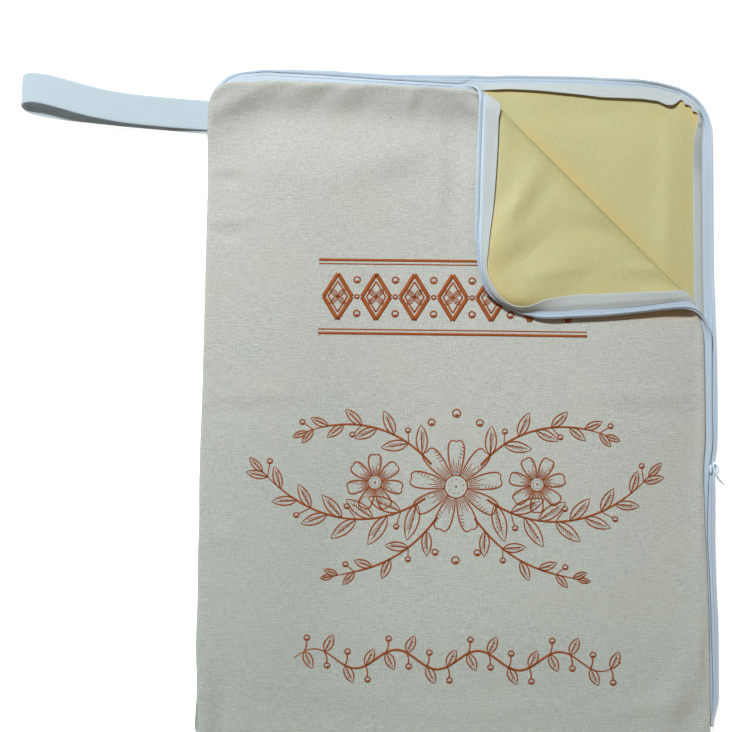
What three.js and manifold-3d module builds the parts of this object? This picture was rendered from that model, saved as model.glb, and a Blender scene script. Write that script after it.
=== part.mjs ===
// Beeswax bread bag lying on its back, zip undone round the top right corner, and that corner peeled back.
// Millimetres. X runs across the bag to its zipped side, Y to its top, Z up out of its front.
// The origin is under the middle of the back panel, on the surface the bag lies on.
import * as THREE from 'three'
import Module from 'manifold-3d'

const wasm = await Module()
wasm.setup()

// The bag and its zip halves, as they lie
const BAG_WIDTH = 333 // left seam to the outside of the back zip half
const BAG_HEIGHT = 432
const FRONT_SHORT_SIDE = 2.3 // the front zip half stops short of the back one by this much at the side
const FRONT_SHORT_TOP = 2
const TOP_LEFT_ROUND = 28
const TOP_RIGHT_ROUND = 38.5
const BOTTOM_ROUND = 5
const CANVAS_INSET = 5.6 // canvas edge to the outside of its zip half
const CANVAS_TOP_LEFT_ROUND = 18.5
const LINING_TOP_LEFT_ROUND = 30
const STRIP_WIDTH = 13.5 // zip half and binding together, seen from inside
const BINDING_WIDTH = 6.5
const SEAM_ALLOWANCE = 4.5 // lining edge to the plain seams at the left and the bottom
const ZIP_START = 146 // degrees round the top left corner, where the tape comes out from under the canvas
const ZIP_END = -206 // the zip's lower end, tucked in under the canvas
const ZIP_TUCK = { from: -188, inset: 3.4, step: 4.5 }
const COIL_TOP_START = -138 // coil's first turn, along the top
const COIL_END = -198
const COIL_WIDTH = 2.2

// Layers, as heights over the middle plane of each half; plus is the canvas side on the front
const CLOTH = 1
const GAP = 0.3
const SIDE_GAP = 0.8 // between pieces that meet edge to edge
const BACK_LEVEL = CLOTH + GAP / 2
const FRONT_LEVEL = 4.35
const OUTER_LAYER = { low: GAP / 2, high: GAP / 2 + CLOTH }
const INNER_LAYER = { low: -GAP / 2 - CLOTH, high: -GAP / 2 }
const TAPE = 0.8
const FRONT_TAPE = { inner: -1.15, outer: -0.05 } // undersides
const BACK_TAPE = { inner: 0.25, outer: 0.15 }
const TAPE_RISE = { from: -156, to: -141 } // the front tape rises to its outside level along here
const BINDING_SLACK = 0.25 // the binding stands this much further from the canvas than the lining does
const FRONT_COIL = { outside: 0.7, low: -1.95, highInner: -1.1, highOuter: -0.65 }
const BACK_COIL = { outside: 0.1, low: 1.25, highInner: 2.45, highOuter: 2.45 }

// The peeled corner. The crease runs at 45 degrees and its rolled edge bulges over the back half.
const CREASE = 153.3 // origin to the visible crease, square to it
const CREASE_DIP = { from: 58, to: 84, depth: 3 } // it falls back where it crosses the zip at the side
const ROLL = { middle: 5, atTop: 6, atSide: 8 } // its radius
const ROLL_SQUASH = { middle: 0.58, atTop: 0.7, atSide: 0.5 } // height of the roll over that of a round one
const TOP_ROLL = { from: -132, to: -85 } // places along the crease where the roll narrows
const SIDE_ROLL = { from: 62, to: 0 }
const FLAP_STRETCH = 0.03 // canvas gives on the bias
const FLAP_REST = 5.4 // height at which the peeled corner rests over the front
const FLAP_REST_REACH = 15
const FLAP_CORNER_RISE = { height: 4.2, from: 8, reach: 62 } // its zipped corner stands on its own edge

// How each half lies: raised in the middle, its corner strip curled up, its edges a little uneven
const CROWN = 4.5
const CROWN_REACH = 75
const CROWN_AT_CREASE = 0.25
const CROWN_WAVES = [
  { alongX: 0.021, alongY: 0.009, phase: 0.4, height: 0.09 },
  { alongX: -0.008, alongY: 0.019, phase: 1.9, height: 0.08 },
  { alongX: 0.034, alongY: -0.027, phase: 4.2, height: 0.04 },
]
const CURL_BAND = 16
const CURL_BACK = THREE.MathUtils.degToRad(20)
const CORNER = { full: 26, none: 62 } // distance along the edge over which the corner's share fades
// Round the peeled corner the strip hangs from the cloth's shoulder; start and end are places along the crease
const HANG = { angle: THREE.MathUtils.degToRad(80), from: 11.5, bend: 8.6, start: [-80, -52], end: [-24, 4], beyond: [165, 195] }
const LINING_BULGE = { height: 0.9, rise: [11, 19], fall: [16, 60] } // the lining puffs off the canvas there
const SEAM_DROP = 1.6 // the two panels turn to meet at the plain seams
const SEAM_TURN = 4
const STRAP_GAP = { from: 166, to: 172, until: 198, end: 204 } // where the side seam stays open for the strap
const EDGE_REACH = 60 // how far an edge's unevenness is felt in the cloth
const LEFT_EDGE = [
  { y: -210, shift: -0.2 }, { y: -187, shift: 0.6 }, { y: -156, shift: -0.6 }, { y: -131, shift: -0.2 },
  { y: -105, shift: -0.6 }, { y: -81, shift: -0.3 }, { y: -56, shift: -0.8 }, { y: -31, shift: -0.7 },
  { y: 0, shift: -0.2 }, { y: 45, shift: 0 }, { y: 110, shift: 0.2 }, { y: 138, shift: 0.3 },
  { y: 176, shift: -0.5 }, { y: 205, shift: 0 },
]
const SIDE_EDGE = [
  { y: -205, shift: 0.4 }, { y: -179, shift: 0.5 }, { y: -149, shift: 0.6 }, { y: -119, shift: -0.4 },
  { y: -89, shift: -1 }, { y: -59, shift: -0.8 }, { y: -48, shift: -0.9 }, { y: -38, shift: -0.8 },
  { y: -29, shift: 0.4 }, { y: -17, shift: 0.9 }, { y: 1, shift: 1 }, { y: 31, shift: 0.8 },
  { y: 60, shift: 0 }, { y: 90, shift: -0.4 }, { y: 170, shift: -0.5 }, { y: 185, shift: -0.6 },
]
const FRONT_SIDE_EDGE = [
  { y: -205, shift: -0.2 }, { y: -152, shift: 0 }, { y: -105, shift: -0.6 }, { y: -69, shift: -1.2 },
  { y: -42, shift: -1 }, { y: -20, shift: 0.3 }, { y: 10, shift: 0.4 }, { y: 45, shift: 0 },
]
const FRONT_LEFT_EDGE = [ // the front draws back from its bottom corner
  { y: -216, shift: 3.2 }, { y: -206, shift: 2.4 }, { y: -190, shift: 0 },
]
const CANVAS_LAP = [ // the canvas laps further over the closed zip
  { y: -205, shift: 2.6 }, { y: -150, shift: 2.2 }, { y: -70, shift: 0.9 }, { y: -47, shift: 0.3 },
  { y: 45, shift: 0 },
]
const LAP_RISE = 0.25 // for each millimetre of that lap
const LAP_REACH = 12
const FLAP_EDGE = [ // the side above the crease
  { y: 45, shift: 0 }, { y: 58, shift: -2 }, { y: 70, shift: -3 }, { y: 78, shift: -3 },
  { y: 90, shift: -2.5 }, { y: 101, shift: -1.4 }, { y: 116, shift: -0.2 }, { y: 130, shift: 0.6 },
  { y: 145, shift: 0.8 }, { y: 159, shift: 1.2 }, { y: 168, shift: 1 }, { y: 174, shift: 0.5 },
  { y: 182, shift: 0.6 }, { y: 195, shift: 0.8 },
]
const FRONT_TOP_EDGE = [
  { x: -165, shift: 0.6 }, { x: -150, shift: 0 }, { x: -140, shift: 0.1 }, { x: -131, shift: 0.9 },
  { x: -120, shift: 1.1 }, { x: -110, shift: 1 }, { x: -85, shift: 0.2 }, { x: -60, shift: -0.6 },
  { x: -25, shift: -1.7 }, { x: 5, shift: -3.2 }, { x: 25, shift: -4.8 }, { x: 50, shift: -5 },
  { x: 65, shift: -5 }, { x: 90, shift: -5.1 }, { x: 110, shift: -4.6 }, { x: 122, shift: -4.3 },
  { x: 133, shift: -3.9 }, { x: 148, shift: -2 }, { x: 160, shift: -1.8 },
]
const BACK_TOP_EDGE = [
  { x: -165, shift: 1.2 }, { x: -157, shift: 1.4 }, { x: -152, shift: 1.2 }, { x: -146.5, shift: 0.2 },
  { x: -138.5, shift: 0.25 }, { x: -133, shift: 1.2 }, { x: -123, shift: 1.4 }, { x: -113, shift: 1.7 },
  { x: -100, shift: 1.4 }, { x: -87, shift: 1.3 }, { x: -74, shift: 0.4 }, { x: -60, shift: -0.1 },
  { x: -47, shift: -0.8 }, { x: -34, shift: -0.6 }, { x: -21, shift: -0.8 }, { x: -7.6, shift: -0.7 },
  { x: 5.6, shift: -0.1 }, { x: 19, shift: -0.5 }, { x: 32, shift: 0.2 }, { x: 80, shift: 0 },
  { x: 92, shift: -0.6 }, { x: 108, shift: -1.1 }, { x: 117, shift: -1.4 }, { x: 125, shift: -2.4 },
  { x: 137, shift: -3.7 }, { x: 147, shift: -3.1 }, { x: 155, shift: -2.2 }, { x: 162, shift: -1.4 },
]

// The hanging strap: both runs of its middle line, from the side seam out to the turn and back
const STRAP_WIDTH = 20
const STRAP = [
  { x: -163.2, y: 185.6, z: 2.9, lean: 0.05 },
  { x: -168, y: 185.9, z: 2.9, lean: 0.05 },
  { x: -180, y: 186.6, z: 3.2, lean: 0.06 },
  { x: -200, y: 187.8, z: 4.4, lean: 0.07 },
  { x: -222, y: 189.6, z: 6, lean: 0.12 },
  { x: -243, y: 193, z: 7.6, lean: 0.2 },
  { x: -260, y: 197.2, z: 8.8, lean: 0.24 },
  { x: -275, y: 200.8, z: 9.2, lean: 0.16 },
  { x: -284, y: 201.6, z: 8.8, lean: 0.06 },
  { x: -288, y: 201, z: 7, lean: 0.03 },
  { x: -289.3, y: 199.8, z: 4.6, lean: 0.02 },
  { x: -288, y: 198, z: 2, lean: 0 },
  { x: -284, y: 196.2, z: 0.6, lean: 0 },
  { x: -275, y: 194.2, z: 0.2, lean: 0.02 },
  { x: -260, y: 191.9, z: 0.15, lean: 0.06 },
  { x: -243, y: 190.2, z: 0.15, lean: 0.08 },
  { x: -222, y: 188.2, z: 0.15, lean: 0.09 },
  { x: -200, y: 186.4, z: 0.3, lean: 0.08 },
  { x: -180, y: 184.8, z: 0.9, lean: 0.06 },
  { x: -168, y: 183.9, z: 1.45, lean: 0.05 },
  { x: -163.2, y: 183.5, z: 1.5, lean: 0.05 },
]
const STRAP_STEPS = 60

// The zip's slider clasps both halves from outside the edge, and its pull hangs from a bail
const SLIDER = { left: 161.6, right: 167.15, low: 0.1, high: 6.2, wall: 0.8, cheek: 0.8, bevel: 0.7, top: -38, bottom: -46.5 }
const SLIDER_INNER = 162 // its lower plate stops before the back canvas
const BAIL = { root: 0.4, reach: 2.9, wire: 1, bevel: 0.8, top: -39, bottom: -44.6, middle: 3.2 }
const PULL = { length: 14.2, width: 5, thick: 0.8, bar: 1, window: 4.6, windowWidth: 2.3, narrow: 3.4, shoulder: 2, bevel: 1.3 }
const PULL_START = new THREE.Vector3(167.85, -40.5, 3.2)
const PULL_LEAN = 0.33 // leans out from the bag's edge by this angle, in radians

// Steps of the meshes
const ROLL_STEPS = 12
const ROW_STEP = 24
const FLAP_ROW_STEP = 8
const BLEND_FROM = 122 // rows bend to follow the roll between these two distances
const BLEND_TO = 192
const BLEND_STEPS = 3
const EDGE_MARKS = [2.2, 6.4, 14, 28]
const MIDDLE_STEPS = 8
const STATION_STEP = 17
const CORNER_STATION_STEP = 8
const TOP_FOLD = { from: -8, to: 38, step: 2.4 } // where the zip goes round the roll
const SIDE_FOLD = { from: 96, to: 34, step: 2.6 }
const TOP_LEFT_STEPS = 6
const TOP_RIGHT_STEPS = 13
const BACK_FOOT_ROWS = [0.9, 2.2, 4.4, 10] // above the back's lower edge
const BACK_ROW_STEPS = 12
const BACK_ROUND_STEPS = 8
const BACK_LEFT_MARKS = [0, 1.6, 4, 10]
const BACK_RIGHT_MARKS = [12, 6, 2, 0]
const BACK_COLUMN_STEPS = 8
const OUTLINE_REACH = 500 // searches for an outline start this far out and halve so many times
const OUTLINE_HALVINGS = 40

const FRONT_OUTER = {
  left: -BAG_WIDTH / 2, right: BAG_WIDTH / 2 - FRONT_SHORT_SIDE,
  bottom: -BAG_HEIGHT / 2, top: BAG_HEIGHT / 2 - FRONT_SHORT_TOP,
  topLeft: TOP_LEFT_ROUND - 1, topRight: TOP_RIGHT_ROUND - 0.5, foot: BOTTOM_ROUND,
}
const BACK_OUTER = {
  left: -BAG_WIDTH / 2, right: BAG_WIDTH / 2, bottom: -BAG_HEIGHT / 2, top: BAG_HEIGHT / 2,
  topLeft: TOP_LEFT_ROUND, topRight: TOP_RIGHT_ROUND, foot: BOTTOM_ROUND,
}

const clamp01 = (v) => Math.min(1, Math.max(0, v))
const mix = (a, b, f) => a + (b - a) * f
const ramp = (from, to, v) => {
  const f = clamp01((v - from) / (to - from))
  return f * f * (3 - 2 * f)
}

// Smooth value of a table's shift at a place along one of its columns, without overshoot
function shiftAt(table, column, place) {
  const rise = (i) => (table[i + 1].shift - table[i].shift) / (table[i + 1][column] - table[i][column])
  const slope = (i) => {
    if (i === 0 || i === table.length - 1) return 0
    const before = rise(i - 1)
    const after = rise(i)
    return before * after > 0 ? (2 * before * after) / (before + after) : 0
  }
  let i = 0
  while (i < table.length - 2 && place > table[i + 1][column]) i++
  const step = table[i + 1][column] - table[i][column]
  const f = clamp01((place - table[i][column]) / step)
  const bend = f * (1 - f) * step * (slope(i) * (1 - f) - slope(i + 1) * f)
  return mix(table[i].shift, table[i + 1].shift, f * f * (3 - 2 * f)) + bend
}

// Distance of a point inside a round-cornered outline from its edge
function depth(box, x, y) {
  const middleX = (box.left + box.right) / 2
  const middleY = (box.bottom + box.top) / 2
  const round = y < middleY ? box.foot : x < middleX ? box.topLeft : box.topRight
  const qx = Math.abs(x - middleX) - (box.right - box.left) / 2 + round
  const qy = Math.abs(y - middleY) - (box.top - box.bottom) / 2 + round
  return round - Math.hypot(Math.max(qx, 0), Math.max(qy, 0)) - Math.min(Math.max(qx, qy), 0)
}

function outward(box, x, y) {
  const e = 0.01
  const dx = depth(box, x - e, y) - depth(box, x + e, y)
  const dy = depth(box, x, y - e) - depth(box, x, y + e)
  const length = Math.hypot(dx, dy) || 1
  return [dx / length, dy / length]
}

// The outline of the canvas, and of the lining inside the zip strip
function canvasBox(outer) {
  return {
    ...outer, right: outer.right - CANVAS_INSET, top: outer.top - CANVAS_INSET,
    topLeft: CANVAS_TOP_LEFT_ROUND, topRight: outer.topRight - CANVAS_INSET,
  }
}

function liningBox(outer) {
  const inset = STRIP_WIDTH + SIDE_GAP
  return {
    left: outer.left + SEAM_ALLOWANCE, right: outer.right - inset,
    bottom: outer.bottom + SEAM_ALLOWANCE, top: outer.top - inset,
    topLeft: LINING_TOP_LEFT_ROUND, topRight: outer.topRight - inset, foot: outer.foot - 2,
  }
}

// Uneven edges: each half's flat shape, moved a little in its own plane
function uneven(box, sideShift, topShift, x, y) {
  const left = shiftAt(LEFT_EDGE, 'y', y) * (1 - ramp(0, EDGE_REACH, x - box.left))
  const side = sideShift * (1 - ramp(0, EDGE_REACH, box.right - x))
  return [x + left + side, y + topShift * (1 - ramp(0, EDGE_REACH, box.top - y))]
}

function unevenFront(x, y) {
  const side = shiftAt(y < FLAP_EDGE[0].y ? FRONT_SIDE_EDGE : FLAP_EDGE, 'y', y)
  const left = shiftAt(FRONT_LEFT_EDGE, 'y', y) * (1 - ramp(0, EDGE_REACH / 2, x - FRONT_OUTER.left))
  const [ux, uy] = uneven(FRONT_OUTER, side, shiftAt(FRONT_TOP_EDGE, 'x', x), x, y)
  return [ux + left, uy]
}

function unevenBack(x, y) {
  return uneven(BACK_OUTER, shiftAt(SIDE_EDGE, 'y', y), shiftAt(BACK_TOP_EDGE, 'x', x), x, y)
}

// How much a place shares in what happens at the zip's rounded corner
function cornerShare(box, x, y) {
  const corner = (box.right - box.top) * Math.SQRT1_2
  return 1 - ramp(CORNER.full, CORNER.none, Math.abs((x - y) * Math.SQRT1_2 - corner))
}

// Round the open corner the back's zip strip stands up, because a tape doesn't stretch
function curled(x, y, h) {
  const share = cornerShare(BACK_OUTER, x, y)
  const reach = CURL_BAND - depth(BACK_OUTER, x, y)
  if (share <= 0 || reach <= 0 || x + y < 0) return [x, y, h]
  const bend = (CURL_BACK * share) / CURL_BAND
  const turned = bend * reach
  const out = Math.sin(turned) / bend - h * Math.sin(turned) - reach
  const [nx, ny] = outward(BACK_OUTER, x, y)
  return [x + nx * out, y + ny * out, (1 - Math.cos(turned)) / bend + h * Math.cos(turned)]
}

function hangShare(x, y) {
  const along = (x - y) * Math.SQRT1_2
  return ramp(...HANG.start, along) * (1 - ramp(...HANG.end, along)) * ramp(...HANG.beyond, (x + y) * Math.SQRT1_2)
}

// Bends the front's zip strip down from the shoulder: first round the bend, then straight
function hung(x, y, h) {
  const share = hangShare(x, y)
  const reach = HANG.from - depth(FRONT_OUTER, x, y)
  if (share <= 0 || reach <= 0) return [x, y, h]
  const bend = (HANG.angle * share) / HANG.bend
  const bent = Math.min(reach, HANG.bend)
  const straight = reach - bent
  const turned = bend * bent
  const out = Math.sin(turned) / bend + straight * Math.cos(turned) - h * Math.sin(turned) - reach
  const [nx, ny] = outward(FRONT_OUTER, x, y)
  const drop = (1 - Math.cos(turned)) / bend + straight * Math.sin(turned)
  return [x + nx * out, y + ny * out, drop + h * Math.cos(turned)]
}

// Share of what happens to the roll at the top and at the side, by the place along the crease
const rollAt = ({ middle, atTop, atSide }, along) => middle
  + (atTop - middle) * (1 - ramp(TOP_ROLL.from, TOP_ROLL.to, along))
  + (atSide - middle) * ramp(SIDE_ROLL.to, SIDE_ROLL.from, along)

const rollRadius = (along) => rollAt(ROLL, along)

function rollStart(along) {
  return CREASE - CREASE_DIP.depth * ramp(CREASE_DIP.from, CREASE_DIP.to, along) - OUTER_LAYER.high - rollRadius(along)
}

// Folds the front half: flat up to the roll, round it, then back over itself
function folded(x, y, h, share) {
  const along = (x - y) * Math.SQRT1_2
  const radius = rollRadius(along)
  const start = rollStart(along)
  const past = (x + y) * Math.SQRT1_2 - start
  if (past <= 0) return [x, y, h]
  const turned = past / radius
  const over = past - Math.PI * radius
  const rise = radius * rollAt(ROLL_SQUASH, along)
  let across = start + (radius - h) * Math.sin(turned)
  let height = rise * (1 - Math.cos(turned)) + h * Math.cos(turned)
  if (over > 0) {
    const edge = 1 - ramp(FLAP_CORNER_RISE.from, FLAP_CORNER_RISE.reach, depth(FRONT_OUTER, x, y))
    const rest = FLAP_REST + FLAP_CORNER_RISE.height * share * edge
    across = start - over * (1 + FLAP_STRETCH)
    height = 2 * rise - h + (rest - 2 * rise) * (1 - Math.exp(-over / FLAP_REST_REACH))
  }
  return [(across + along) * Math.SQRT1_2, (across - along) * Math.SQRT1_2, height]
}

// The rise of the front in its middle; the back lies flat
function crown(x, y) {
  const box = FRONT_OUTER
  const fromEdges = ramp(0, CROWN_REACH, x - box.left) * ramp(0, CROWN_REACH, box.right - x)
    * ramp(0, CROWN_REACH, y - box.bottom) * ramp(0, CROWN_REACH, box.top - y)
  const fromCrease = mix(CROWN_AT_CREASE, 1, ramp(0, CROWN_REACH, CREASE - (x + y) * Math.SQRT1_2))
  const waves = CROWN_WAVES.reduce((sum, w) => sum + w.height * Math.sin(w.alongX * x + w.alongY * y + w.phase), 1)
  return CROWN * fromEdges * fromCrease * waves
}

// How far each panel turns towards the other at the plain seams, except where the strap comes out
function seamTurn(x, y) {
  const inset = Math.min(x - FRONT_OUTER.left, y - FRONT_OUTER.bottom)
  const f = 1 - clamp01(inset / SEAM_TURN)
  const open = ramp(STRAP_GAP.from, STRAP_GAP.to, y) * (1 - ramp(STRAP_GAP.until, STRAP_GAP.end, y))
  return SEAM_DROP * (1 - Math.sqrt(1 - f * f)) * (1 - open)
}

function placeFront(x, y, h) {
  const [ux, uy] = unevenFront(x, y)
  const [hx, hy, hh] = hung(ux, uy, h)
  const [fx, fy, fz] = folded(hx, hy, hh, hangShare(hx, hy))
  return [fx, fy, FRONT_LEVEL + fz + crown(fx, fy) - seamTurn(x, y)]
}

function placeFrontCanvas(x, y, h) {
  const lap = shiftAt(CANVAS_LAP, 'y', y) * (1 - ramp(0, LAP_REACH, FRONT_OUTER.right - CANVAS_INSET - x))
  return placeFront(x + lap, y, h + lap * LAP_RISE)
}

function placeFrontLining(x, y, h) {
  const inset = depth(FRONT_OUTER, x, y)
  const near = x + y > 0 ? Math.max(0, ramp(...LINING_BULGE.rise, inset) - ramp(...LINING_BULGE.fall, inset)) : 0
  return placeFront(x, y, h - LINING_BULGE.height * near * cornerShare(FRONT_OUTER, x, y))
}

function placeBack(x, y, h) {
  const [ux, uy] = unevenBack(x, y)
  const [cx, cy, ch] = curled(ux, uy, h)
  return [cx, cy, BACK_LEVEL + ch + seamTurn(x, y)]
}

// A closed mesh from vertices and triangles, turned so that its faces point out
function closedGeometry(points, triangles) {
  let volume = 0
  const a = new THREE.Vector3()
  const b = new THREE.Vector3()
  const c = new THREE.Vector3()
  for (const [i, j, k] of triangles) {
    volume += a.fromArray(points[i]).dot(b.fromArray(points[j]).cross(c.fromArray(points[k])))
  }
  const geometry = new THREE.BufferGeometry()
  geometry.setAttribute('position', new THREE.Float32BufferAttribute(points.flat(), 3))
  geometry.setIndex((volume < 0 ? triangles.map(([i, j, k]) => [i, k, j]) : triangles).flat())
  geometry.computeVertexNormals()
  return geometry
}

// A sheet between two heights over a grid of flat points with equal rows
function sheetGeometry(rows, layer, place) {
  const wide = rows[0].length
  const count = rows.length * wide
  const flat = rows.flat()
  const points = [...flat.map(([x, y]) => place(x, y, layer.low)), ...flat.map(([x, y]) => place(x, y, layer.high))]
  const triangles = []
  const quad = (p, q, r, s) => triangles.push([p, q, r], [p, r, s])
  for (let i = 0; i + 1 < rows.length; i++) {
    for (let j = 0; j + 1 < wide; j++) {
      const p = i * wide + j
      quad(p, p + wide, p + wide + 1, p + 1)
      quad(count + p, count + p + 1, count + p + wide + 1, count + p + wide)
    }
    const left = i * wide
    const right = left + wide - 1
    quad(left, count + left, count + left + wide, left + wide)
    quad(right, right + wide, count + right + wide, count + right)
  }
  const last = count - wide
  for (let j = 0; j + 1 < wide; j++) {
    quad(j, j + 1, count + j + 1, count + j)
    quad(last + j, count + last + j, count + last + j + 1, last + j + 1)
  }
  return closedGeometry(points, triangles)
}

// A bar from a run of cross-sections with equal numbers of corners
function barGeometry(sections) {
  const sides = sections[0].length
  const points = sections.flat()
  const triangles = []
  for (let i = 0; i + 1 < sections.length; i++) {
    for (let j = 0; j < sides; j++) {
      const p = i * sides + j
      const q = i * sides + ((j + 1) % sides)
      triangles.push([p, q, q + sides], [p, q + sides, p + sides])
    }
  }
  const last = points.length - sides
  for (let j = 1; j + 1 < sides; j++) {
    triangles.push([0, j + 1, j], [last, last + j, last + j + 1])
  }
  return closedGeometry(points, triangles)
}

// Where a row of the front, given as distance to the crease line over place along it, crosses an outline
function rowEnds(box, row) {
  const inside = (along) => {
    const n = row(along)
    return depth(box, (n + along) * Math.SQRT1_2, (n - along) * Math.SQRT1_2)
  }
  let middle = 0
  for (let along = -320; along <= 320; along += 2) if (inside(along) > inside(middle)) middle = along
  if (inside(middle) <= 0) return null
  return [-1, 1].map((way) => {
    let near = middle
    let far = middle + way * OUTLINE_REACH
    for (let i = 0; i < OUTLINE_HALVINGS; i++) {
      const half = (near + far) / 2
      if (inside(half) > 0) near = half
      else far = half
    }
    return near
  })
}

// Distances of straight rows, closer together round the corners of the outline
function rowDistances(box, from, to, widest) {
  const corner = (x, y, round, reach) => ({ at: (x + y) * Math.SQRT1_2, reach: round * reach, step: round / 4.5 })
  const zones = [
    corner(box.left, box.top, box.topLeft, 0.75),
    corner(box.right, box.bottom, box.foot, 0.8),
    { at: from, reach: 6, step: 2.6 },
    { at: to, reach: 13, step: 3 },
  ]
  const list = []
  for (let n = from; n < to - 0.5;) {
    list.push(n)
    const zone = zones.find((z) => Math.abs(n - z.at) < z.reach)
    const next = zones.filter((z) => z.at - z.reach > n).map((z) => z.at - z.reach + 0.01)
    n = Math.min(n + (zone ? zone.step : widest), ...next)
  }
  return [...list, to]
}

function frontRowShapes(box) {
  const apex = (x, y, round) => Math.abs(x + y) * Math.SQRT1_2 - round * (Math.SQRT2 - 1)
  const lowest = 0.8 - apex(box.left, box.bottom, box.foot)
  const highest = apex(box.right, box.top, box.topRight) - 0.7
  const straight = (n) => () => n
  const rows = rowDistances(box, lowest, BLEND_FROM, ROW_STEP).map(straight)
  for (let i = 1; i < BLEND_STEPS; i++) rows.push((along) => mix(BLEND_FROM, rollStart(along), i / BLEND_STEPS))
  for (let i = 0; i <= ROLL_STEPS; i++) {
    rows.push((along) => rollStart(along) + (rollRadius(along) * Math.PI * i) / ROLL_STEPS)
  }
  for (let i = 1; i < BLEND_STEPS; i++) {
    rows.push((along) => mix(rollStart(along) + rollRadius(along) * Math.PI, BLEND_TO, i / BLEND_STEPS))
  }
  return [...rows, ...rowDistances(box, BLEND_TO, highest, FLAP_ROW_STEP).map(straight)]
}

// The grid of a front sheet. Every sheet shares the canvas's lines, so that the layers stay apart.
function frontRows(box) {
  const canvas = canvasBox(FRONT_OUTER)
  const own = frontRowShapes(box)
  const shapes = [own[0], ...frontRowShapes(canvas).filter((row) => row(0) > own[0](0) + 2 && row(0) < own.at(-1)(0) - 1.5), own.at(-1)]
  return shapes.map((row) => {
    const [low, high] = rowEnds(box, row)
    const [canvasLow, canvasHigh] = rowEnds(canvas, row)
    const scale = Math.min(1, (canvasHigh - canvasLow) / (3 * EDGE_MARKS.at(-1)))
    const marks = EDGE_MARKS.map((m) => m * scale)
    const step = Math.min(0.8, (high - low) / 40)
    const left = marks.map((m, i) => Math.max(canvasLow + m, low + step * (i + 1)))
    const right = marks.map((m, i) => Math.min(canvasHigh - m, high - step * (i + 1))).reverse()
    const middle = []
    for (let i = 1; i < MIDDLE_STEPS; i++) middle.push(mix(left.at(-1), right[0], i / MIDDLE_STEPS))
    return [low, ...left, ...middle, ...right, high].map((along) => {
      const n = row(along)
      return [(n + along) * Math.SQRT1_2, (n - along) * Math.SQRT1_2]
    })
  })
}

// The grid of a back sheet: rows across the bag, closer at the rounded top and at the seams
function backRows(box) {
  const shoulder = box.top - box.topRight
  const heights = BACK_FOOT_ROWS.map((h) => box.bottom + h)
  const foot = heights.at(-1)
  for (let i = 1; i < BACK_ROW_STEPS; i++) heights.push(mix(foot, shoulder, i / BACK_ROW_STEPS))
  for (let i = 0; i <= BACK_ROUND_STEPS; i++) {
    const f = Math.sin((i / BACK_ROUND_STEPS) * Math.PI * 0.5)
    heights.push(shoulder + box.topRight * Math.min(f, 1 - 0.5 / box.topRight))
  }
  return heights.map((y) => {
    const end = (way) => {
      let near = 0
      let far = way * OUTLINE_REACH
      for (let i = 0; i < OUTLINE_HALVINGS; i++) {
        const half = (near + far) / 2
        if (depth(box, half, y) > 0) near = half
        else far = half
      }
      return near
    }
    const left = BACK_LEFT_MARKS.map((m) => end(-1) + m)
    const right = BACK_RIGHT_MARKS.map((m) => end(1) - m)
    const middle = []
    for (let i = 1; i < BACK_COLUMN_STEPS; i++) middle.push(mix(left.at(-1), right[0], i / BACK_COLUMN_STEPS))
    return [...left, ...middle, ...right].map((x) => [x, y])
  })
}

// Stations along a zip half: round the top left, along the top, round the corner and down the side
function stations(outer, folds) {
  const list = []
  const arc = (cx, cy, radius, from, to, steps) => {
    for (let i = 0; i <= steps; i++) {
      const angle = THREE.MathUtils.degToRad(mix(from, to, i / steps))
      const nx = Math.cos(angle)
      const ny = Math.sin(angle)
      list.push({ x: cx + radius * nx, y: cy + radius * ny, nx, ny })
    }
  }
  const line = (from, to, step, point) => {
    const count = Math.max(1, Math.round(Math.abs(to - from) / step))
    for (let i = 1; i <= count; i++) list.push(point(mix(from, to, i / count)))
  }
  arc(outer.left + outer.topLeft, outer.top - outer.topLeft, outer.topLeft, ZIP_START, 90, TOP_LEFT_STEPS)
  const top = (x) => ({ x, y: outer.top, nx: 0, ny: 1 })
  const side = (y) => ({ x: outer.right, y, nx: 1, ny: 0 })
  const foldStep = (step) => (folds ? step : STATION_STEP)
  line(outer.left + outer.topLeft, TOP_FOLD.from, STATION_STEP, top)
  line(TOP_FOLD.from, TOP_FOLD.to, foldStep(TOP_FOLD.step), top)
  line(TOP_FOLD.to, outer.right - outer.topRight, CORNER_STATION_STEP, top)
  arc(outer.right - outer.topRight, outer.top - outer.topRight, outer.topRight, 90, 0, TOP_RIGHT_STEPS)
  line(outer.top - outer.topRight, SIDE_FOLD.from, CORNER_STATION_STEP, side)
  line(SIDE_FOLD.from, SIDE_FOLD.to, foldStep(SIDE_FOLD.step), side)
  line(SIDE_FOLD.to, ZIP_TUCK.from, STATION_STEP, side)
  line(ZIP_TUCK.from, ZIP_END, ZIP_TUCK.step, side)
  return list.filter((station, i) => i === 0 || Math.hypot(station.x - list[i - 1].x, station.y - list[i - 1].y) > 0.5)
}

// A strip along a zip half. Its corners are insets from the outside of that half, and heights.
function strip(outer, place, corners, keep = () => true) {
  const folds = place === placeFront
  return barGeometry(stations(outer, folds).filter(keep).map((station) => (
    corners(station).map(({ inset, h }) => place(station.x - station.nx * inset, station.y - station.ny * inset, h))
  )))
}

const bindingCorners = (layer, side) => () => {
  const insets = [STRIP_WIDTH - BINDING_WIDTH, STRIP_WIDTH - BINDING_WIDTH / 2, STRIP_WIDTH]
  return [
    ...insets.map((inset) => ({ inset, h: layer.low + side * BINDING_SLACK })),
    ...insets.toReversed().map((inset) => ({ inset, h: layer.high + side * BINDING_SLACK })),
  ]
}

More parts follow.
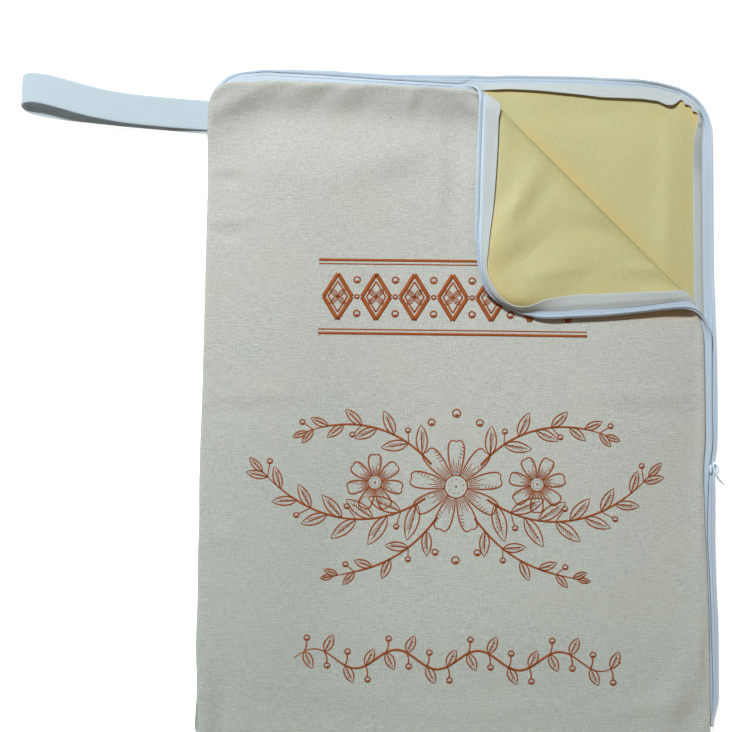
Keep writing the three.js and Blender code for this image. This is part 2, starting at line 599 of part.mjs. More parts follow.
// A tape's section in so many steps across
const tapeCorners = (tape, steps) => ({ x, y }) => {
  const inner = STRIP_WIDTH - BINDING_WIDTH - SIDE_GAP
  const outer = ZIP_TUCK.inset * ramp(ZIP_TUCK.from, ZIP_END, y)
  const rise = ramp(TAPE_RISE.from, TAPE_RISE.to, x)
  const edge = mix(tape.inner, tape.outer, rise * (1 - outer / inner))
  const under = []
  for (let i = 0; i <= steps; i++) under.push({ inset: mix(outer, inner, i / steps), h: mix(edge, tape.inner, i / steps) })
  return [...under, ...under.map(({ inset, h }) => ({ inset, h: h + TAPE })).reverse()]
}

function coilCorners(coil) {
  return () => [
    { inset: coil.outside, h: coil.low }, { inset: coil.outside + COIL_WIDTH, h: coil.low },
    { inset: coil.outside + COIL_WIDTH, h: coil.highInner }, { inset: coil.outside, h: coil.highOuter },
  ]
}

const hasCoil = ({ x, y }) => x >= COIL_TOP_START && y >= COIL_END

// The strap, a flat ribbon swept along its middle line
function strapGeometry() {
  const route = new THREE.CatmullRomCurve3(STRAP.map(({ x, y, z }) => new THREE.Vector3(x, y, z)), false, 'centripetal')
  const leans = new THREE.CatmullRomCurve3(STRAP.map(({ lean }, i) => new THREE.Vector3(i, lean, 0)), false, 'centripetal')
  const sections = []
  for (let i = 0; i <= STRAP_STEPS; i++) {
    const f = i / STRAP_STEPS
    const middle = route.getPoint(f)
    const tangent = route.getTangent(f)
    const lean = leans.getPoint(f).y
    const across = new THREE.Vector3(Math.sin(lean), Math.cos(lean), 0)
    const up = new THREE.Vector3().crossVectors(tangent, across).normalize()
    const corner = (side, height) => middle.clone().addScaledVector(across, (side * STRAP_WIDTH) / 2)
      .addScaledVector(up, height).add(new THREE.Vector3(0, 0, CLOTH / 2)).toArray()
    sections.push([corner(-1, -CLOTH / 2), corner(1, -CLOTH / 2), corner(1, CLOTH / 2), corner(-1, CLOTH / 2)])
  }
  return barGeometry(sections)
}

function solid(geometry) {
  const flat = geometry.index ? geometry.toNonIndexed() : geometry
  const source = flat.getAttribute('position').array
  const seen = new Map()
  const vertProperties = []
  const triVerts = []
  for (let i = 0; i < source.length; i += 3) {
    const at = [...source.slice(i, i + 3)]
    const key = at.map((v) => v.toFixed(4)).join()
    if (!seen.has(key)) {
      seen.set(key, vertProperties.length / 3)
      vertProperties.push(...at)
    }
    triVerts.push(seen.get(key))
  }
  return new wasm.Manifold(new wasm.Mesh({
    numProp: 3, vertProperties: new Float32Array(vertProperties), triVerts: new Uint32Array(triVerts),
  }))
}

function geometryOf(manifold) {
  const { vertProperties, triVerts } = manifold.getMesh()
  const geometry = new THREE.BufferGeometry()
  geometry.setAttribute('position', new THREE.BufferAttribute(new Float32Array(vertProperties), 3))
  geometry.setIndex([...triVerts])
  return geometry
}

function extrusion(outline, thick, holes = []) {
  const shape = new THREE.Shape(outline.map(([x, y]) => new THREE.Vector2(x, y)))
  shape.holes = holes.map((hole) => new THREE.Path(hole.map(([x, y]) => new THREE.Vector2(x, y))))
  return new THREE.ExtrudeGeometry(shape, { depth: thick, bevelEnabled: false })
}

// The slider: a channel round both zip halves, open towards the bag, with the bail on its outside
function sliderGeometry() {
  const { left, right, low, high, wall, cheek, bevel, top, bottom } = SLIDER
  const channel = extrusion([
    [SLIDER_INNER, low], [right - bevel, low], [right, low + bevel], [right, high - bevel], [right - bevel, high], [left, high],
    [left, high - wall], [right - cheek, high - wall], [right - cheek, low + wall], [SLIDER_INNER, low + wall],
  ], top - bottom)
  channel.rotateX(Math.PI / 2).translate(0, top, 0)
  const root = right - BAIL.root
  const end = right + BAIL.reach
  const inside = end - BAIL.wire
  const bail = extrusion([
    [root, BAIL.bottom], [end - BAIL.bevel, BAIL.bottom], [end, BAIL.bottom + BAIL.bevel],
    [end, BAIL.top - BAIL.bevel], [end - BAIL.bevel, BAIL.top], [root, BAIL.top],
    [root, BAIL.top - BAIL.wire], [inside, BAIL.top - BAIL.wire], [inside, BAIL.bottom + BAIL.wire], [root, BAIL.bottom + BAIL.wire],
  ], BAIL.wire)
  bail.translate(0, 0, BAIL.middle - BAIL.wire / 2)
  return geometryOf(solid(channel).add(solid(bail)))
}

// The pull: a flat tab standing on edge, its window round the bail
function pullGeometry() {
  const { length, width, thick, bar, window, windowWidth, narrow, shoulder, bevel } = PULL
  const half = width / 2
  const neck = narrow / 2
  const hole = windowWidth / 2
  const windowEnd = bar + window
  const wide = windowEnd + shoulder
  const pull = extrusion([
    [0, -neck], [windowEnd, -neck], [wide, -half], [length - bevel, -half], [length, bevel - half],
    [length, half - bevel], [length - bevel, half], [wide, half], [windowEnd, neck], [0, neck],
  ], thick, [[[bar, -hole], [bar, hole], [windowEnd, hole], [windowEnd, -hole]]])
  pull.translate(0, 0, -thick / 2).rotateX(Math.PI / 2)
  return pull
}

const cloth = (color, roughness) => new THREE.MeshStandardMaterial({ color, roughness, metalness: 0, side: THREE.FrontSide })
const materials = {
  canvas: cloth(0xbcbeb2, 0.92),
  lining: cloth(0xc9c48b, 0.62),
  binding: cloth(0xd0dadf, 0.85),
  tape: cloth(0xcfdce8, 0.78),
  coil: cloth(0xd6e2ec, 0.45),
  webbing: cloth(0xd3dde2, 0.84),
  metal: new THREE.MeshStandardMaterial({ color: 0xd2d5d8, roughness: 0.28, metalness: 1 }),
}

const bag = new THREE.Group()

function add(name, geometry, material) {
  const mesh = new THREE.Mesh(geometry, material)
  mesh.name = name
  bag.add(mesh)
  return mesh
}

add('back_panel', sheetGeometry(backRows(canvasBox(BACK_OUTER)), INNER_LAYER, placeBack), materials.canvas)
add('back_lining', sheetGeometry(backRows(liningBox(BACK_OUTER)), OUTER_LAYER, placeBack), materials.lining)
add('back_binding', strip(BACK_OUTER, placeBack, bindingCorners(OUTER_LAYER, 0)), materials.binding)
add('back_zip_tape', strip(BACK_OUTER, placeBack, tapeCorners(BACK_TAPE, 1)), materials.tape)
add('back_zip_coil', strip(BACK_OUTER, placeBack, coilCorners(BACK_COIL), hasCoil), materials.coil)
add('front_panel', sheetGeometry(frontRows(canvasBox(FRONT_OUTER)), OUTER_LAYER, placeFrontCanvas), materials.canvas)
add('front_lining', sheetGeometry(frontRows(liningBox(FRONT_OUTER)), INNER_LAYER, placeFrontLining), materials.lining)
add('front_binding', strip(FRONT_OUTER, placeFront, bindingCorners(INNER_LAYER, -1)), materials.binding)
add('front_zip_tape', strip(FRONT_OUTER, placeFront, tapeCorners(FRONT_TAPE, 2)), materials.tape)
add('front_zip_coil', strip(FRONT_OUTER, placeFront, coilCorners(FRONT_COIL), hasCoil), materials.coil)
add('hanging_strap', strapGeometry(), materials.webbing)
add('zip_slider', sliderGeometry(), materials.metal)

const pull = add('zip_pull', pullGeometry(), materials.metal)
pull.position.copy(PULL_START)
pull.rotation.z = PULL_LEAN - Math.PI / 2

export default bag
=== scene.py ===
# Beeswax bread bag lying on its back with its zip undone and one corner peeled back: the looks.
# Sizes are millimetres, as in the part's source, and turn into metres where a mesh is made.
import math

import bpy
import numpy as np
from mathutils import Matrix


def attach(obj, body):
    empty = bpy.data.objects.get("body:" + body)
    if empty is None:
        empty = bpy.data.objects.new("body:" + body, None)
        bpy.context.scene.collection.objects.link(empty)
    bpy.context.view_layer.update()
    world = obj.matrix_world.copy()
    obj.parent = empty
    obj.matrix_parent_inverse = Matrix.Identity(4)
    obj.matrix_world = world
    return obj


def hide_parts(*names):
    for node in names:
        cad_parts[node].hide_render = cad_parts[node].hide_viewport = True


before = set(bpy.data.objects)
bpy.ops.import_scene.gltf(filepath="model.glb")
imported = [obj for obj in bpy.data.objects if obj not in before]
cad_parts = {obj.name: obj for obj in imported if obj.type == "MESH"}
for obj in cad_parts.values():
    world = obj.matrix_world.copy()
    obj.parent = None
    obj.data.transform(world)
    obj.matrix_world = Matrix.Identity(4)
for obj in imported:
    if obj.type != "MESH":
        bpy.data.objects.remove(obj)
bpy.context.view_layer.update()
MM = 0.001
DIAGONAL = math.sqrt(0.5)

# The bag and its zip halves, as they lie
BAG_WIDTH = 333
BAG_HEIGHT = 432
FRONT_SHORT_SIDE = 2.3
FRONT_SHORT_TOP = 2
TOP_LEFT_ROUND = 28
TOP_RIGHT_ROUND = 38.5
BOTTOM_ROUND = 5
CANVAS_INSET = 5.6
CANVAS_TOP_LEFT_ROUND = 16.8
LINING_TOP_LEFT_ROUND = 30
STRIP_WIDTH = 13.5
BINDING_WIDTH = 6.5
SEAM_ALLOWANCE = 4.5
ZIP_START = 146
ZIP_END = -206
ZIP_TUCK = {"from": -188, "inset": 3.4}
COIL_TOP_START = -138
COIL_END = -198

# Layers, as heights over the middle plane of each half; the tapes' levels are those of their lower face
CLOTH = 1
GAP = 0.3
SIDE_GAP = 0.8
BACK_LEVEL = CLOTH + GAP / 2
FRONT_LEVEL = 4.35
OUTER_LAYER = (GAP / 2, GAP / 2 + CLOTH)
INNER_LAYER = (-GAP / 2 - CLOTH, -GAP / 2)
TAPE = 0.8
TAPE_LAP = 0.4
FRONT_TAPE = {"inner": -1.15, "outer": -0.05}
BACK_TAPE = {"inner": 0.25, "outer": 0.15}
TAPE_RISE = (-156, -141)
BINDING_SLACK = 0.25
# A binding over its tape: share of its thickness at the outer edge, share of its width at which it is full,
# and how far it swells up where it lies open, from which share of its width on
BINDING_SHAPE = {"thin": 0.35, "full_at": 0.3, "swell": 0.55, "swollen_at": 0.4}

# The peeled corner
CREASE = 153.3
# Distances across the crease over which the creases of the flat part end, and over which the creases, the
# waxed side of the canvas and the spread of the lining begin on the peeled part
FLAT_ENDS = (136, 147)
PEELED = {"creases": (158, 163), "warm_tint": (158, 164), "spread": (146, 160)}
# Where the back's lining comes out from under the front: along x, along y
UNCOVERED = ((-12, 12), (20, 40))
CREASE_DIP = {"from": 58, "to": 84, "depth": 3}
ROLL_MIDDLE = 5
ROLL_AT_TOP = 6
ROLL_AT_SIDE = 8
ROLL_SQUASH = {"middle": 0.58, "at_side": 0.5, "at_top": 0.7}
TOP_ROLL = (-132, -85)
SIDE_ROLL = (62, 0)
FLAP_STRETCH = 0.03
FLAP_REST = 5.4
FLAP_REST_REACH = 15
FLAP_CORNER_RISE = {"height": 4.2, "from": 8, "to": 62}

# How each half lies
CROWN = 4.5
CROWN_REACH = 75
CROWN_AT_CREASE = 0.25
CROWN_WAVES = [  # along X, along Y, phase, height
    (0.021, 0.009, 0.4, 0.09), (-0.008, 0.019, 1.9, 0.08), (0.034, -0.027, 4.2, 0.04),
]
# Round the top right corner: full and none are distances along the edge from the corner's middle
CORNER = {"full": 26, "none": 62}
CURL = {"band": 16, "angle": math.radians(20)}
# The hanging strip: inset where it starts to bend, length of the bend, where along the crease it begins and
# ends, how far out it begins, and how far its tape's edge is drawn in
HANG = {
    "angle": math.radians(80), "from": 11.5, "bend": 8.6, "start": (-77, -54), "end": (-23, 4),
    "beyond": (165, 195), "tape": 1.6,
}
LINING_BULGE = {"height": 0.9, "rise": (11, 19), "fall": (16, 60)}
# How far the linings run on under their bindings, by the place along the edge from the middle of the corner
UNDER_BACK_BINDING = [(-38, 6.3), (-18, 8.6), (6, 8.6), (17, 6)]
UNDER_FRONT_BINDING = [(-80, 6.3), (-56, 8.2), (18, 8.2), (34, 6.3)]
UNDER_BINDING_REACH = 15
SEAM_DROP = 1.6
SEAM_TURN = 4
STRAP_GAP = (166, 172, 198, 204)
EDGE_REACH = 60
LEFT_EDGE = [  # y, shift
    (-210, -0.2), (-187, 0.6), (-156, -0.6), (-131, -0.2), (-105, -0.6), (-81, -0.3), (-56, -0.8),
    (-31, -0.7), (0, -0.2), (45, 0), (110, 0.2), (138, 0.3), (176, -0.5), (205, 0),
]
SIDE_EDGE = [
    (-205, 0.4), (-179, 0.5), (-149, 0.6), (-119, -0.4), (-89, -1), (-59, -0.8), (-48, -0.9), (-38, -0.8),
    (-29, 0.4), (-17, 0.9), (1, 1), (31, 0.8), (60, 0), (90, -0.4), (170, -0.5), (185, -0.6),
]
FRONT_SIDE_EDGE = [
    (-205, -0.2), (-152, 0), (-105, -0.6), (-69, -1.2), (-42, -1), (-20, 0.3), (10, 0.4), (45, 0),
]
FRONT_LEFT_EDGE = [(-216, 3.2), (-206, 2.4), (-190, 0)]
CANVAS_LAP = [(-205, 2.6), (-150, 2.2), (-70, 0.9), (-47, 0.3), (45, 0)]
LAP_RISE = 0.25
LAP_REACH = 12
FLAP_EDGE = [
    (45, 0), (58, -2), (70, -3), (78, -3), (90, -2.5), (101, -1.4), (116, -0.2), (130, 0.6), (145, 0.8),
    (159, 1.2), (168, 1), (174, 0.5), (182, 0.6), (195, 0.8),
]
FRONT_TOP_EDGE = [  # x, shift
    (-165, 0), (-150, 0), (-140, 0.1), (-131, 0.9), (-120, 1.1), (-110, 1), (-85, 0.2), (-60, -0.6),
    (-25, -1.7), (5, -3.2), (25, -4.8), (50, -5), (65, -5), (90, -5.1), (110, -4.6), (122, -4.5),
    (133, -4.5), (141, -4.2), (150, -2.6), (160, -1.8),
]
BACK_TOP_EDGE = [
    (-165, 1.2), (-157, 1.4), (-152, 1.2), (-146.5, 0.2), (-138.5, 0.25), (-133, 1.2), (-123, 1.4),
    (-113, 1.7), (-100, 1.4), (-87, 1.3), (-74, 0.4), (-60, -0.1), (-47, -0.8), (-34, -0.6), (-21, -0.8),
    (-7.6, -0.7), (5.6, -0.1), (19, -0.5), (32, 0.2), (80, 0), (92, -0.6), (108, -1.1), (117, -1.4),
    (125, -2.4), (137, -3.7), (147, -3.1), (155, -2.2), (162, -1.4),
]

# The hanging strap's middle line: x, y, z, lean
STRAP_WIDTH = 20
STRAP = [
    (-163.2, 185.6, 2.9, 0.05), (-168, 185.9, 2.9, 0.05), (-180, 186.6, 3.2, 0.06),
    (-200, 187.8, 4.4, 0.07), (-222, 189.6, 6, 0.12), (-243, 193, 7.6, 0.2), (-260, 197.2, 8.8, 0.24),
    (-275, 200.8, 9.2, 0.16), (-284, 201.6, 8.8, 0.06), (-288, 201, 7, 0.03), (-289.3, 199.8, 4.6, 0.02),
    (-288, 198, 2, 0), (-284, 196.2, 0.6, 0), (-275, 194.2, 0.2, 0.02), (-260, 191.9, 0.15, 0.06),
    (-243, 190.2, 0.15, 0.08), (-222, 188.2, 0.15, 0.09), (-200, 186.4, 0.3, 0.08),
    (-180, 184.8, 0.9, 0.06), (-168, 183.9, 1.45, 0.05), (-163.2, 183.5, 1.5, 0.05),
]

# Creases in the front half: a soft ridge, or a trough where height is below zero.
# Columns: x and y of the middle on the unfolded bag, way of the long axis in degrees, half length,
# half width, height
FRONT_CREASES = [
    (-155, 191, 33, 15, 5, 1.3), (-143, 198, 26, 24, 5.5, 1.5), (-128, 190, 30, 20, 7, -0.7),
    (-101, 205, 30, 16, 5, 2), (-90, 196, 36, 16, 6, -1.3), (-76, 203, 40, 14, 5, 2.1),
    (-63, 194, 44, 14, 6, -1.3), (-33, 201, 75, 10, 4, 1.4), (-26, 199, 80, 11, 4, -0.8),
    (5, 202, -35, 14, 5, 1.7), (-3, 191, -40, 14, 6, -1.1), (-153, 149, 0, 9, 3.5, 1.1),
    (-152, 143, 0, 9, 4, -0.9), (-152, 115, 3, 12, 4, 1.1), (-151, 108, 3, 12, 4.5, -0.8),
    (-41, 160, 20, 20, 12, 0.9), (-36, 146, 20, 20, 12, -0.9), (-75, 150, 30, 30, 14, 0.6),
    (-118, 158, 32, 30, 13, 0.7), (-14, 137, 90, 45, 2.2, 0.6), (-5, 140, 88, 50, 7, -1.2),
    (-131, 1, 2, 32, 6, 0.7), (-131, -7, 2, 32, 7, -0.5), (-154, -28, 0, 9, 4, 0.5),
    (-151, -90, 0, 12, 6, 0.7), (-155, -121, 0, 8, 4, 0.5), (126, 4, 0, 34, 6, 0.6),
    (126, -5, 0, 34, 7, -0.4), (154, 29, 0, 6, 3.5, 0.5), (-156, -190, 85, 26, 6, 0.9),
    (-148, -190, 85, 26, 7, -0.8), (141, -184, 62, 30, 10, 1.0), (154, -192, 62, 30, 9, -1.0),
    (112, -196, 10, 40, 7, 0.7), (-60, -190, -8, 60, 9, 0.5), (40, -196, 6, 50, 8, 0.5),
    (70, -120, 20, 60, 25, 0.6), (152, -135, 88, 75, 26, 1.3), (-90, -60, 70, 70, 22, 0.6),
    (20, 40, 80, 60, 24, 0.5),
]
# The same on the peeled corner, where the lining shows; height is still towards the canvas side
FLAP_CREASES = [
    (86, 183, 36, 23, 5.5, -1.1), (93, 173, 36, 23, 6.5, 0.8), (118, 191, 51, 15, 5.5, -0.6),
    (125.5, 184, 51, 15, 5.5, 0.55), (98, 133, -70, 20, 6, -1.2), (106, 136, -70, 20, 5, 1.2),
    (135, 99, -72, 12, 4, -1), (143, 101.5, -72, 12, 3.5, 0.9), (134.5, 157, 79, 21, 4, -0.3),
    (141.5, 156, 79, 21, 4, 0.25), (60, 198, 10, 26, 5, -0.6), (66, 206, 12, 30, 6, 0.6),
    (158, 130, 85, 26, 5, -0.5),
]
# Soft hollows and swellings of the lining of the back, where the corner is open
BACK_CREASES = [
    (60, 176, -38, 30, 10, 0.9), (72, 186, -38, 30, 10, -0.5), (118, 166, -30, 30, 14, 0.5),
    (130, 107, -60, 26, 10, 0.7), (137, 130, 88, 60, 8, 1.3), (95, 190, 2, 40, 6, -0.5),
    (100, 140, 60, 40, 16, 0.3),
]
# How far in from the edge the creases have their full height
CREASES_FADE = {"front": 4.5, "back": 9}
# The canvas falls away below its top seam and comes up again: distances below the seam, how deep it falls,
# and the distance from the left side over which that begins
SEAM_SLOPE = {"top": 4, "foot": 24, "far": 62, "drop": 2.1, "from_left": 30}
SEAM_RIDGE = {"inset": 2, "width": 2.6, "height": 0.95, "start": (-8, 4)}

# Painted shade on the canvas, mostly along its seams and in broad patches where less light falls: as the
# creases, with a share for the height
CANVAS_PAINTED_SHADE = [
    (-80, 196, 0, 90, 12, 0.2), (-150, 186, 30, 30, 16, 0.12), (-2, 190, -20, 30, 14, 0.1),
    (-37, 153, 20, 22, 14, 0.06), (150, -190, 70, 34, 12, 0.04), (-158, -192, 88, 30, 5, 0.08),
    (-110, -70, 80, 190, 55, 0.1), (150, 10, 90, 60, 20, 0.06),
]

# Painted warm shadow: an orange-brown tint on the canvas in the shade just below the peeled corner, as the
# creases; it fades in going up over the y range that follows
WARM_SHADOW_TINTS = [(120, 64, 0, 44, 12, 0.6), (80, 68, 0, 26, 16, 0.35)]
WARM_SHADOW_ABOVE = (51, 56)

FRONT_OUTER = {
    "left": -BAG_WIDTH / 2, "right": BAG_WIDTH / 2 - FRONT_SHORT_SIDE,
    "bottom": -BAG_HEIGHT / 2, "top": BAG_HEIGHT / 2 - FRONT_SHORT_TOP,
    "top_left": TOP_LEFT_ROUND - 1, "top_right": TOP_RIGHT_ROUND - 0.5, "foot": BOTTOM_ROUND,
}
BACK_OUTER = {
    "left": -BAG_WIDTH / 2, "right": BAG_WIDTH / 2, "bottom": -BAG_HEIGHT / 2, "top": BAG_HEIGHT / 2,
    "top_left": TOP_LEFT_ROUND, "top_right": TOP_RIGHT_ROUND, "foot": BOTTOM_ROUND,
}


def clamp01(v):
    return np.clip(v, 0, 1)


def mix(a, b, f):
    return a + (b - a) * f


def across_crease(x, y):
    """Distance out towards the peeled corner, square to the crease."""
    return (x + y) * DIAGONAL


def along_crease(x, y):
    """Place along the crease, growing towards the bottom right."""
    return (x - y) * DIAGONAL


def from_crease(across, along):
    return (across + along) * DIAGONAL, (across - along) * DIAGONAL


def normalised(vectors):
    return vectors / np.maximum(np.linalg.norm(vectors, axis=-1, keepdims=True), 1e-9)


def ramp(a, b, v):
    f = clamp01((v - a) / (b - a))
    return f * f * (3 - 2 * f)


def shift_at(table, place):
    """Smooth value of a table's second column at a place along its first, without overshoot."""
    keys, values = np.array(table, float).T
    steps = np.diff(keys)
    rises = np.diff(values) / steps
    product = rises[:-1] * rises[1:]
    slopes = np.zeros(len(keys))
    slopes[1:-1] = np.where(product > 0, 2 * product / np.where(product > 0, rises[:-1] + rises[1:], 1), 0)
    i = np.clip(np.searchsorted(keys, place) - 1, 0, len(keys) - 2)
    f = clamp01((place - keys[i]) / steps[i])
    bend = f * (1 - f) * steps[i] * (slopes[i] * (1 - f) - slopes[i + 1] * f)
    return mix(values[i], values[i + 1], f * f * (3 - 2 * f)) + bend


def depth(box, x, y):
    """Distance of a point inside a round-cornered outline from its edge."""
    middle_x = (box["left"] + box["right"]) / 2
    middle_y = (box["bottom"] + box["top"]) / 2
    above = np.where(x < middle_x, box["top_left"], box["top_right"])
    corner = np.where(y < middle_y, box["foot"], above)
    qx = np.abs(x - middle_x) - (box["right"] - box["left"]) / 2 + corner
    qy = np.abs(y - middle_y) - (box["top"] - box["bottom"]) / 2 + corner
    outside = np.hypot(np.maximum(qx, 0), np.maximum(qy, 0))
    return corner - outside - np.minimum(np.maximum(qx, qy), 0)


def outward(box, x, y):
    e = 0.01
    dx = depth(box, x - e, y) - depth(box, x + e, y)
    dy = depth(box, x, y - e) - depth(box, x, y + e)
    length = np.maximum(np.hypot(dx, dy), 1e-9)
    return dx / length, dy / length


def canvas_box(outer):
    return {
        **outer, "right": outer["right"] - CANVAS_INSET, "top": outer["top"] - CANVAS_INSET,
        "top_left": CANVAS_TOP_LEFT_ROUND, "top_right": outer["top_right"] - CANVAS_INSET,
    }


def lining_box(outer):
    inset = STRIP_WIDTH + SIDE_GAP
    return {
        "left": outer["left"] + SEAM_ALLOWANCE, "right": outer["right"] - inset,
        "bottom": outer["bottom"] + SEAM_ALLOWANCE, "top": outer["top"] - inset,
        "top_left": LINING_TOP_LEFT_ROUND, "top_right": outer["top_right"] - inset, "foot": outer["foot"] - 2,
    }


def uneven(box, side_shift, top_shift, x, y):
    left = shift_at(LEFT_EDGE, y) * (1 - ramp(0, EDGE_REACH, x - box["left"]))
    side = side_shift * (1 - ramp(0, EDGE_REACH, box["right"] - x))
    return x + left + side, y + top_shift * (1 - ramp(0, EDGE_REACH, box["top"] - y))


def uneven_front(x, y):
    side = np.where(y < FLAP_EDGE[0][0], shift_at(FRONT_SIDE_EDGE, y), shift_at(FLAP_EDGE, y))
    left = shift_at(FRONT_LEFT_EDGE, y) * (1 - ramp(0, EDGE_REACH / 2, x - FRONT_OUTER["left"]))
    ux, uy = uneven(FRONT_OUTER, side, shift_at(FRONT_TOP_EDGE, x), x, y)
    return ux + left, uy


def uneven_back(x, y):
    return uneven(BACK_OUTER, shift_at(SIDE_EDGE, y), shift_at(BACK_TOP_EDGE, x), x, y)


def corner_share(box, x, y):
    middle = along_crease(box["right"], box["top"])
    return 1 - ramp(CORNER["full"], CORNER["none"], np.abs(along_crease(x, y) - middle))


def curled(x, y, h):
    """The back's zip strip stands up round the corner, because a tape doesn't stretch."""
    share = corner_share(BACK_OUTER, x, y)
    reach = CURL["band"] - depth(BACK_OUTER, x, y)
    on = (share > 1e-6) & (reach > 0) & (x + y >= 0)
    bend = np.where(on, CURL["angle"] * share / CURL["band"], 1)
    turned = np.where(on, bend * reach, 0)
    out = np.sin(turned) / bend - h * np.sin(turned) - np.where(on, reach, 0)
    nx, ny = outward(BACK_OUTER, x, y)
    return x + nx * out, y + ny * out, (1 - np.cos(turned)) / bend + h * np.cos(turned)


def hang_share(x, y):
    along = along_crease(x, y)
    beyond = ramp(*HANG["beyond"], across_crease(x, y))
    return ramp(*HANG["start"], along) * (1 - ramp(*HANG["end"], along)) * beyond


def hung(x, y, h):
    """Round the peeled corner the zip strip hangs down from the cloth's shoulder."""
    angle = np.maximum(HANG["angle"] * hang_share(x, y), 1e-4)
    reach = np.maximum(HANG["from"] - depth(FRONT_OUTER, x, y), 0)
    bend = angle / HANG["bend"]
    bent = np.minimum(reach, HANG["bend"])
    straight = reach - bent
    turned = bend * bent
    out = np.sin(turned) / bend + straight * np.cos(turned) - h * np.sin(turned) - reach
    up = (1 - np.cos(turned)) / bend + straight * np.sin(turned) + h * np.cos(turned)
    nx, ny = outward(FRONT_OUTER, x, y)
    return x + nx * out, y + ny * out, up


def roll_radius(along):
    top = (ROLL_AT_TOP - ROLL_MIDDLE) * (1 - ramp(*TOP_ROLL, along))
    return ROLL_MIDDLE + top + (ROLL_AT_SIDE - ROLL_MIDDLE) * ramp(SIDE_ROLL[1], SIDE_ROLL[0], along)


def roll_squash(along):
    """Height of the roll as a share of a round one's."""
    middle = ROLL_SQUASH["middle"]
    side = (ROLL_SQUASH["at_side"] - middle) * ramp(SIDE_ROLL[1], SIDE_ROLL[0], along)
    return middle + side + (ROLL_SQUASH["at_top"] - middle) * (1 - ramp(*TOP_ROLL, along))


def roll_start(along):
    dip = CREASE_DIP["depth"] * ramp(CREASE_DIP["from"], CREASE_DIP["to"], along)
    return CREASE - dip - OUTER_LAYER[1] - roll_radius(along)


def folded(x, y, h):
    """Folds the front half: flat up to the roll, round it, then back over itself."""
    along = along_crease(x, y)
    radius = roll_radius(along)
    start = roll_start(along)
    past = across_crease(x, y) - start
    turned = past / radius
    over = past - math.pi * radius
    rolling = turned < math.pi
    across = np.where(rolling, start + (radius - h) * np.sin(turned), start - over * (1 + FLAP_STRETCH))
    inner = 1 - ramp(FLAP_CORNER_RISE["from"], FLAP_CORNER_RISE["to"], depth(FRONT_OUTER, x, y))
    rest = FLAP_REST + FLAP_CORNER_RISE["height"] * hang_share(x, y) * inner
    rise = radius * roll_squash(along)
    lift = (rest - 2 * rise) * (1 - np.exp(-np.maximum(0, over) / FLAP_REST_REACH))
    height = np.where(rolling, rise * (1 - np.cos(turned)) + h * np.cos(turned), 2 * rise - h + lift)
    flat = past <= 0
    fx, fy = from_crease(across, along)
    return np.where(flat, x, fx), np.where(flat, y, fy), np.where(flat, h, height)


def crown(x, y):
    box = FRONT_OUTER
    sides = ramp(0, CROWN_REACH, x - box["left"]) * ramp(0, CROWN_REACH, box["right"] - x)
    ends = ramp(0, CROWN_REACH, y - box["bottom"]) * ramp(0, CROWN_REACH, box["top"] - y)
    crease = mix(CROWN_AT_CREASE, 1, ramp(0, CROWN_REACH, CREASE - across_crease(x, y)))
    waves = 1 + sum(height * np.sin(ax * x + ay * y + phase) for ax, ay, phase, height in CROWN_WAVES)
    return CROWN * sides * ends * crease * waves


def seam_turn(x, y):
    inset = np.minimum(x - FRONT_OUTER["left"], y - FRONT_OUTER["bottom"])
    f = 1 - clamp01(inset / SEAM_TURN)
    start, opened, until, end = STRAP_GAP
    gap = ramp(start, opened, y) * (1 - ramp(until, end, y))
    return SEAM_DROP * (1 - np.sqrt(1 - f * f)) * (1 - gap)


def place_front(x, y, h):
    ux, uy = uneven_front(x, y)
    fx, fy, fz = folded(*hung(ux, uy, h + creases(x, y)))
    return np.stack([fx, fy, FRONT_LEVEL + fz + crown(fx, fy) - seam_turn(x, y)], -1)


def place_front_canvas(x, y, h):
    lap = shift_at(CANVAS_LAP, y) * (1 - ramp(0, LAP_REACH, FRONT_OUTER["right"] - CANVAS_INSET - x))
    return place_front(x + lap, y, h + lap * LAP_RISE)


def spread(outer, table, x, y, share):
    """The lining runs on under its binding; in the CAD model it stops beside it."""
    box = lining_box(outer)
    nx, ny = outward(box, x, y)
    from_corner = along_crease(x, y) - along_crease(outer["right"], outer["top"])
    by = shift_at(table, from_corner) * share * (1 - ramp(0, UNDER_BINDING_REACH, depth(box, x, y)))
    return x + nx * by, y + ny * by


def place_front_lining(x, y, h):
    """The lining, which on the peeled corner bulges along the zip and runs on under the binding."""
    inset = depth(FRONT_OUTER, x, y)
    near = np.where(x + y > 0, ramp(*LINING_BULGE["rise"], inset) - ramp(*LINING_BULGE["fall"], inset), 0)
    bulge = LINING_BULGE["height"] * np.maximum(near, 0) * corner_share(FRONT_OUTER, x, y)
    peeled = ramp(*PEELED["spread"], across_crease(x, y))
    sx, sy = spread(FRONT_OUTER, UNDER_FRONT_BINDING, x, y, peeled)
    return place_front(sx, sy, h - bulge)


def place_back_lining(x, y, h):
    uncovered = ramp(*UNCOVERED[0], x) * ramp(*UNCOVERED[1], y)
    return place_back(*spread(BACK_OUTER, UNDER_BACK_BINDING, x, y, uncovered), h)


def place_back(x, y, h):
    ux, uy = uneven_back(x, y)
    cx, cy, ch = curled(ux, uy, h)
    return np.stack([cx, cy, BACK_LEVEL + ch + seam_turn(x, y)], -1)


def soft_folds(table, x, y):
    total = np.zeros(np.shape(x))
    for cx, cy, way, length, width, height in table:
        c, s = math.cos(math.radians(way)), math.sin(math.radians(way))
        u = ((x - cx) * c + (y - cy) * s) / length
        v = ((y - cy) * c - (x - cx) * s) / width
        total += height * np.exp(-u * u - v * v)
    return total


